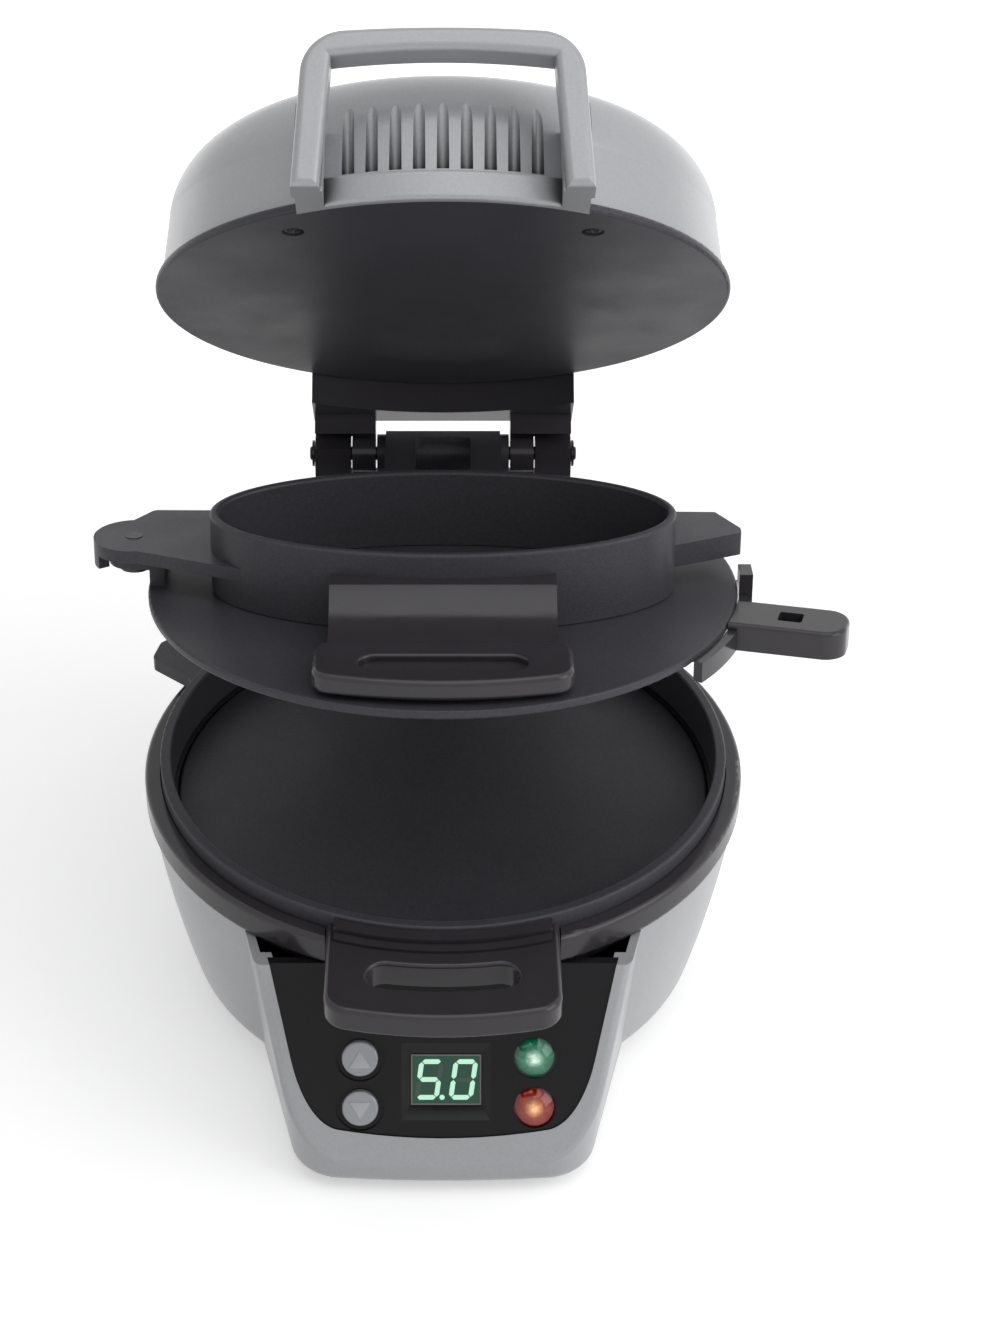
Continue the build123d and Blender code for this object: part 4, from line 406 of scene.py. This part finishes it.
# ---- meshes -------------------------------------------------------------------------------------------
def panel_point(x, y, out=0.0):
    """A place on the control panel, in millimetres right, up the slope and out of its silver border."""
    return PANEL_ORIGIN + Vector((x * MM, 0, 0)) + UP_THE_PANEL * (y * MM) + OUT_OF_PANEL * (out * MM)


def panel_matrix(x, y, out=0.0):
    """Axes on the control panel: x right, y up the slope, z out."""
    return Matrix.Translation(panel_point(x, y, out)) @ Matrix.Rotation(pi / 2 - PANEL_SLOPE, 4, "X")


def panel_place(node):
    """Where the middle of a node lies on the control panel: millimetres right and up the slope."""
    low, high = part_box(node)
    away = ((low + high) / 2 - PANEL_ORIGIN) / MM
    return away.x, away.dot(UP_THE_PANEL)


def dress(material, *nodes):
    """Gives CAD nodes a material, and shades their round faces smooth."""
    for node in nodes:
        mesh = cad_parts[node].data
        mesh.materials.clear()
        mesh.materials.append(material)
        mesh.shade_smooth()
        mesh.set_sharp_from_angle(angle=radians(30))


def new_piece(name, data, body, material):
    """Puts a finished bmesh into the scene, in its material, riding on a body."""
    mesh = bpy.data.meshes.new(name)
    data.to_mesh(mesh)
    data.free()
    mesh.shade_smooth()
    mesh.set_sharp_from_angle(angle=radians(32))
    piece = bpy.data.objects.new(name, mesh)
    bpy.context.scene.collection.objects.link(piece)
    mesh.materials.append(material)
    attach(piece, body)
    return piece


def merge(data, block, place):
    """Adds one bmesh to another at a place, and frees it."""
    block.transform(place)
    mesh = bpy.data.meshes.new("passing")
    block.to_mesh(mesh)
    block.free()
    data.from_mesh(mesh)
    bpy.data.meshes.remove(mesh)


def prism(data, outline, height, place, bevel=0.0, hole=None):
    """Adds an outline in millimetres, raised by a height, at a place, with its top edges rounded off."""
    block = bmesh.new()
    loops = [[block.verts.new((x * MM, y * MM, 0)) for x, y in loop] for loop in (outline, hole) if loop]
    edges = [block.edges.new((loop[i - 1], loop[i])) for loop in loops for i in range(len(loop))]
    bmesh.ops.triangle_fill(block, use_beauty=True, use_dissolve=True, edges=edges)
    raised = bmesh.ops.extrude_face_region(block, geom=list(block.faces))["geom"]
    top = [item for item in raised if isinstance(item, bmesh.types.BMVert)]
    bmesh.ops.translate(block, verts=top, vec=(0, 0, height * MM))
    if bevel:
        rim = [
            edge for edge in block.edges
            if all(vert in top for vert in edge.verts)
            and any(abs(face.normal.z) < 0.5 for face in edge.link_faces)
        ]
        bmesh.ops.bevel(block, geom=rim, offset=bevel * MM, segments=2, affect="EDGES", profile=0.5)
    bmesh.ops.recalc_face_normals(block, faces=block.faces)
    merge(data, block, place)


def ring_of(radius, count):
    """Points round a circle."""
    turns = [2 * pi * i / count for i in range(count)]
    return [(radius * cos(turn), radius * sin(turn)) for turn in turns]


def cross_of(reach, half):
    """Outline of a cross, as a screwdriver's recess has."""
    return [
        (reach, -half), (reach, half), (half, half), (half, reach), (-half, reach), (-half, half),
        (-reach, half), (-reach, -half), (-half, -half), (-half, -reach), (half, -reach), (half, -half),
    ]


def hung(angle):
    """Where a piece hung on the rear hinge is at rest: turned up about the rod, and raised with it."""
    return (
        Matrix.Translation(BODY_AXIS + ROD_RAISED)
        @ Matrix.Rotation(-angle, 4, "X")
        @ Matrix.Translation(-ROD_CLOSED)
    )


def drawn(block, edges, scale, rise):
    """Draws a loop of edges on to a new loop, scaled about Z and moved along it; returns the new loop."""
    new = bmesh.ops.extrude_edge_only(block, edges=edges)["geom"]
    verts = {item for item in new if isinstance(item, bmesh.types.BMVert)}
    for vert in verts:
        vert.co = (vert.co.x * scale, vert.co.y * scale, vert.co.z + rise * MM)
    return [item for item in new if isinstance(item, bmesh.types.BMEdge) and set(item.verts) <= verts]


def add_screw(data, place, head_radius, head_height, shank_length):
    """Adds a cross-recessed pan-head screw, its head standing on Z from where it seats."""
    block = bmesh.new()
    # shares of the head's radius at its crown and its shoulder
    crown, shoulder = 0.84, 0.94
    loops = []
    for outline in (ring_of(head_radius * crown, 36), cross_of(0.6 * head_radius, 0.16 * head_radius)):
        verts = [block.verts.new((x * MM, y * MM, head_height * MM)) for x, y in outline]
        loops.append([block.edges.new((verts[i - 1], verts[i])) for i in range(len(verts))])
    bmesh.ops.triangle_fill(block, use_beauty=True, edges=loops[0] + loops[1])
    recess = drawn(block, loops[1], 0.7, -0.75 * head_height)
    bmesh.ops.contextual_create(block, geom=recess)
    side = drawn(block, loops[0], shoulder / crown, -0.12 * head_height)
    side = drawn(block, side, 1 / shoulder, -0.25 * head_height)
    side = drawn(block, side, 1.0, -0.63 * head_height)
    # threads, from their root to their crest and back
    root, crest, pitch = 1.25, 1.58, 1.1
    side = drawn(block, side, root / head_radius, 0)
    for _ in range(int(shank_length / pitch)):
        side = drawn(block, side, crest / root, -0.4 * pitch)
        side = drawn(block, side, root / crest, -0.4 * pitch)
        side = drawn(block, side, 1.0, -0.2 * pitch)
    bmesh.ops.contextual_create(block, geom=side)
    bmesh.ops.recalc_face_normals(block, faces=block.faces)
    merge(data, block, place)


def segment_outlines(height, stroke, slant):
    """The seven segments of a digit and its middle: each a name and an outline in millimetres."""
    width = height * 0.53
    half, cut = height / 4, stroke / 2
    gap = 0.12 * stroke
    across = [
        (-width / 2 + gap, 0), (-width / 2 + gap + cut, cut), (width / 2 - gap - cut, cut),
        (width / 2 - gap, 0), (width / 2 - gap - cut, -cut), (-width / 2 + gap + cut, -cut),
    ]
    upright = [
        (0, gap - half), (cut, gap - half + cut), (cut, half - gap - cut),
        (0, half - gap), (-cut, half - gap - cut), (-cut, gap - half + cut),
    ]
    places = {
        "a": (across, 0, 2 * half), "g": (across, 0, 0), "d": (across, 0, -2 * half),
        "f": (upright, -width / 2, half), "b": (upright, width / 2, half),
        "e": (upright, -width / 2, -half), "c": (upright, width / 2, -half),
    }
    return {
        name: [(u + right + (v + up) * sin(slant), v + up) for u, v in shape]
        for name, (shape, right, up) in places.items()
    }


# ---- operators ----------------------------------------------------------------------------------------
class SANDWICH_OT_silver(bpy.types.Operator):
    """Lacquers the bowl, the lid's shell and its handle"""

    bl_idname = "sandwich.silver"
    bl_label = "Silver bodywork"

    def execute(self, context):
        dress(silver_lacquer(context.scene.sandwich_colours), "base_shell", "lid_shell", "lid_handle")
        return {"FINISHED"}


class SANDWICH_OT_black(bpy.types.Operator):
    """Finishes the black plastic of rim, handles and hinge, the panel, the floor and the rubber"""

    bl_idname = "sandwich.black"
    bl_label = "Black plastic and rubber"

    def execute(self, context):
        colours = context.scene.sandwich_colours
        dress(
            black_plastic(colours),
            "base_rim", "hinge_tower", "hinge_yoke", "lid_frame", "lower_ring_handle", "plate_handle",
            "egg_ring_handle", "display_module", "tact_switches",
        )
        dress(polished_panel(colours), "control_panel")
        dress(matt_polypropylene(colours), "base_pan")
        dress(nitrile_rubber(colours), "rubber_feet", "cord_bush")
        return {"FINISHED"}


class SANDWICH_OT_coated(bpy.types.Operator):
    """Coats the griddle, the plates and the rings"""

    bl_idname = "sandwich.coated"
    bl_label = "Non-stick metal"

    def execute(self, context):
        dress(
            non_stick(context.scene.sandwich_colours),
            "lower_heating_plate", "upper_heating_plate", "cooking_plate", "egg_ring", "lower_ring",
        )
        return {"FINISHED"}


class SANDWICH_OT_inside(bpy.types.Operator):
    """Finishes the parts inside: boards, elements, reflectors, thermostats and fasteners"""

    bl_idname = "sandwich.inside"
    bl_label = "Inner parts"

    def execute(self, context):
        colours = context.scene.sandwich_colours
        dress(
            zinc_steel(colours),
            "lower_plate_screws", "lower_heating_element", "power_board_screws", "board_screws",
            "tower_screws", "upper_heating_element", "lid_screws", "lid_handle_screws",
            "upper_reflector_screws",
        )
        dress(blackened_steel(colours), "tower_stop_pin", "hinge_rod", "rod_clips", "plate_pivot_pin")
        dress(mill_aluminium(colours), "lower_reflector", "upper_reflector")
        dress(solder_mask(colours), "power_board", "control_board")
        dress(
            steatite(colours),
            "lower_thermostat", "lower_thermal_fuse", "upper_thermostat", "upper_thermal_fuse",
            "indicator_leds",
        )
        return {"FINISHED"}


class SANDWICH_OT_screws(bpy.types.Operator):
    """Puts cross-recessed screws with threads in place of the plain ones that show"""

    bl_idname = "sandwich.screws"
    bl_label = "Visible screws"

    def execute(self, context):
        head_radius = context.scene.sandwich_sizes.screw_head / MM
        steel = blackened_steel(context.scene.sandwich_colours)
        standing, tray, lid = Matrix.Translation(BODY_AXIS), hung(TRAY_ANGLE), hung(LID_ANGLE)
        pan_turns = [radians(degrees) for degrees in (68, 112, -19, 199)]
        pan_seats = [(70 * cos(turn), 70 * sin(turn), 4) for turn in pan_turns]
        plate_seats = [(107.5 * cos(PLATE_HANDLE_TURN), 107.5 * sin(PLATE_HANDLE_TURN), 88.4)]
        # node, body, where its body hangs, seats from the closed body's axis, head's height and shank's
        # length; seats and sizes are in millimetres
        for node, body, hang, seats, head_height, shank in (
            ("upper_plate_screws", "lid", lid, [(47, -65.97, 125), (-47, -65.97, 125)], 1.2, 13),
            ("pan_screws", "base", standing, pan_seats, 1.6, 9),
            ("plate_handle_screw", "cooking_plate", tray, plate_seats, 1.5, 6),
            ("ring_handle_screws", "lower_ring", standing, [(14, -104, 80.6), (-14, -104, 80.6)], 1.4, 5.5),
            ("egg_handle_screws", "egg_ring", tray, [(14, -57, 98), (-14, -57, 98)], 0.9, 4.4),
        ):
            data = bmesh.new()
            for x, y, z in seats:
                seat = Matrix.Translation((x * MM, y * MM, z * MM)) @ Matrix.Rotation(pi, 4, "X")
                add_screw(data, hang @ seat, head_radius, head_height, shank)
            piece = new_piece(f"{node}_recessed", data, body, steel)
            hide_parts(node)
        return {"FINISHED"}


class SANDWICH_OT_lights(bpy.types.Operator):
    """Finishes the green and red lenses, each lit from behind"""

    bl_idname = "sandwich.lights"
    bl_label = "Ready and power lights"

    def execute(self, context):
        colours = context.scene.sandwich_colours
        for node, name, colour, hot in (
            ("green_lens", "Green_acrylic_lens", colours.green, "#D8FFE9"),
            ("red_lens", "Red_acrylic_lens", colours.red, "#FFC08A"),
        ):
            x, y = panel_place(node)
            # the lamp shines from a little above the middle
            lamp = panel_point(x - 0.2, y + 0.9, LENS_TOP)
            dress(lamp_lens(name, colour, hot, lamp), node)
        return {"FINISHED"}


class SANDWICH_OT_buttons(bpy.types.Operator):
    """Finishes the two button caps, and raises an arrow on each, lightened as a painted highlight"""

    bl_idname = "sandwich.buttons"
    bl_label = "Buttons"

    def execute(self, context):
        colours = context.scene.sandwich_colours
        half = context.scene.sandwich_sizes.arrow_width / 2 / MM
        cap = lacquered_cap("Grey_lacquered_cap", colours, 1.0)
        # painted highlight: the arrow is the cap's own lacquer made lighter, standing in for the light on
        # its raised edges
        arrow = lacquered_cap("Grey_lacquered_arrow_painted_highlight", colours, 1.25)
        for node, up in (("up_button", 1), ("down_button", -1)):
            dress(cap, node)
            x, y = panel_place(node)
            data = bmesh.new()
            base, tip = -0.75 * half * up, 0.95 * half * up
            # sunk a little into the cap
            place = panel_matrix(x, y, BUTTON_TOP - 0.03)
            prism(data, [(-half, base), (half, base), (0, tip)], 0.25, place, bevel=0.2)
            new_piece(f"{node}_arrow", data, node, arrow)
        return {"FINISHED"}


class SANDWICH_OT_display(bpy.types.Operator):
    """Finishes the display's filter, and adds its lit and unlit segments and polished edge, whose highlight
    is painted
    """

    bl_idname = "sandwich.display"
    bl_label = "Display"

    def execute(self, context):
        colours = context.scene.sandwich_colours
        sizes = context.scene.sandwich_sizes
        dress(display_filter(colours), "display_window")
        x, y = panel_place("display_window")
        height, stroke = sizes.digit_height / MM, sizes.digit_stroke / MM
        outlines = segment_outlines(height, stroke, sizes.digit_slant)
        face = panel_matrix(x, y, FILTER_FACE)
        lit, unlit = bmesh.new(), bmesh.new()
        for on, middle in DIGITS:
            for name, outline in outlines.items():
                moved = [(u + middle, v) for u, v in outline]
                prism(lit if name in on else unlit, moved, 0.15, face, bevel=0.05)
        point_left = 1.3
        point = [(u - point_left, v - height / 2) for u, v in ring_of(0.55 * stroke, 12)]
        prism(lit, point, 0.15, face, bevel=0.05)
        for name, segments, material in (
            ("display_digits", lit, segment_light("Lit_segment", colours.lit, 0.95)),
            # painted glow: the segments that are off glow faintly too, though no lamp lights them
            ("display_unlit_segments_painted_glow", unlit, segment_light("Unlit_segment_painted_glow", colours.unlit, 0.6)),
        ):
            new_piece(name, segments, "base", material)
        across, along = WINDOW_HALF
        edge = bmesh.new()
        outer = [(across, along), (-across, along), (-across, -along), (across, -along)]
        inner = [(u * (1 - WINDOW_EDGE / across), v * (1 - WINDOW_EDGE / along)) for u, v in outer]
        prism(edge, outer, 0.3, face, bevel=0.08, hole=inner)
        # the edge's pale colour is a painted highlight
        new_piece("display_edge_painted_highlight", edge, "base", acrylic_edge_painted_highlight(colours))
        return {"FINISHED"}


class SANDWICH_OT_studio(bpy.types.Operator):
    """Sets the white floor, the soft lamps and the camera"""

    bl_idname = "sandwich.studio"
    bl_label = "Studio"

    def execute(self, context):
        white = (1, 1, 1, 1)
        data = bmesh.new()
        bmesh.ops.create_circle(data, cap_ends=True, radius=6.0, segments=96)
        mesh = bpy.data.meshes.new("Floor")
        data.to_mesh(mesh)
        data.free()
        floor = bpy.data.objects.new("Floor", mesh)
        context.scene.collection.objects.link(floor)
        material = bpy.data.materials.new("White_paper_floor")
        material.use_nodes = True
        tree = material.node_tree
        tree.nodes.clear()
        paper = add_node(tree, "ShaderNodeBsdfDiffuse", {"Color": linear("#F4F4F4")})
        # near the maker the floor glows little and keeps the shadow; from 1.1 m away it is white
        spot = add_node(tree, "ShaderNodeNewGeometry").outputs["Position"]
        away = add_node(tree, "ShaderNodeVectorMath", {0: spot}, operation="LENGTH").outputs["Value"]
        spread = {"Value": away, "From Min": 0.3, "From Max": 1.1, "To Min": 0.42, "To Max": 1.0}
        strength = add_node(tree, "ShaderNodeMapRange", spread).outputs["Result"]
        seen = add_node(tree, "ShaderNodeMath", {0: seen_share(tree), 1: strength}, operation="MULTIPLY")
        glow = add_node(tree, "ShaderNodeEmission", {"Color": white, "Strength": seen.outputs[0]})
        both = add_node(tree, "ShaderNodeAddShader", {0: paper.outputs[0], 1: glow.outputs[0]})
        add_node(tree, "ShaderNodeOutputMaterial", {"Surface": both.outputs[0]})
        mesh.materials.append(material)

        world = bpy.data.worlds.new("White_studio")
        context.scene.world = world
        world.use_nodes = True
        tree = world.node_tree
        tree.nodes.clear()
        # brighter to the right, as in a studio with its window on that side
        direction = add_node(tree, "ShaderNodeTexCoord").outputs["Generated"]
        toward = add_node(tree, "ShaderNodeSeparateXYZ", {0: direction}).outputs["X"]
        spread = {"Value": toward, "From Min": -1, "To Min": 0.26, "To Max": 0.7}
        side = add_node(tree, "ShaderNodeMapRange", spread).outputs["Result"]
        lighting = add_node(tree, "ShaderNodeBackground", {"Color": white, "Strength": side}).outputs[0]
        backdrop = add_node(tree, "ShaderNodeBackground", {"Color": white, "Strength": 1.0}).outputs[0]
        shown = add_node(tree, "ShaderNodeMixShader", {0: seen_share(tree), 1: lighting, 2: backdrop})
        add_node(tree, "ShaderNodeOutputWorld", {"Surface": shown.outputs[0]})

        middle = Vector((0, 0, 0.15))
        # square soft boxes: place and width in metres, power in watts
        for name, place, size, power in (
            ("Key", (1.4, -0.6, 1.0), 1.2, 9),
            ("Overhead", (0.2, -0.3, 2.2), 1.6, 9),
        ):
            lamp = bpy.data.lights.new(name, "AREA")
            lamp.size = size
            lamp.energy = power
            light = bpy.data.objects.new(name, lamp)
            light.location = place
            light.rotation_euler = (middle - Vector(place)).to_track_quat("-Z", "Y").to_euler()
            context.scene.collection.objects.link(light)

        lens = bpy.data.cameras.new("Camera")
        lens.lens = LENS_MM
        # sideways, as a share of the frame's longer side
        lens.shift_x = 57 / 1333
        lens.clip_start = 0.05
        lens.clip_end = 30
        camera = bpy.data.objects.new("Camera", lens)
        camera.location = BODY_AXIS + CAMERA_PLACE
        camera.rotation_euler = (pi / 2 - CAMERA_PITCH, 0, 0)
        context.scene.collection.objects.link(camera)
        context.scene.camera = camera
        context.scene.view_settings.view_transform = "Standard"
        return {"FINISHED"}


class SANDWICH_PT_panel(bpy.types.Panel):
    """Lists the steps that finish the sandwich maker, with its colours and sizes"""

    bl_idname = "SANDWICH_PT_panel"
    bl_label = "Sandwich Maker"
    bl_space_type = "VIEW_3D"
    bl_region_type = "UI"
    bl_category = "Sandwich Maker"

    def draw(self, context):
        for operator in STEPS:
            self.layout.operator(operator.bl_idname)
        for group in (context.scene.sandwich_colours, context.scene.sandwich_sizes):
            column = self.layout.column()
            for name in group.__annotations__:
                column.prop(group, name)


STEPS = (
    SANDWICH_OT_silver,
    SANDWICH_OT_black,
    SANDWICH_OT_coated,
    SANDWICH_OT_inside,
    SANDWICH_OT_screws,
    SANDWICH_OT_lights,
    SANDWICH_OT_buttons,
    SANDWICH_OT_display,
    SANDWICH_OT_studio,
)
CLASSES = (SandwichMakerColours, SandwichMakerSizes, *STEPS, SANDWICH_PT_panel)


def register():
    """Registers the classes and hangs their properties on the scene."""
    for item in CLASSES:
        bpy.utils.register_class(item)
    bpy.types.Scene.sandwich_colours = PointerProperty(type=SandwichMakerColours)
    bpy.types.Scene.sandwich_sizes = PointerProperty(type=SandwichMakerSizes)


def unregister():
    """Takes them away again."""
    del bpy.types.Scene.sandwich_colours
    del bpy.types.Scene.sandwich_sizes
    for item in reversed(CLASSES):
        bpy.utils.unregister_class(item)


def main():
    """Builds the whole scene, step by step."""
    register()
    bpy.ops.sandwich.silver()
    bpy.ops.sandwich.black()
    bpy.ops.sandwich.coated()
    bpy.ops.sandwich.inside()
    bpy.ops.sandwich.screws()
    bpy.ops.sandwich.lights()
    bpy.ops.sandwich.buttons()
    bpy.ops.sandwich.display()
    bpy.ops.sandwich.studio()


if __name__ == "__main__":
    main()
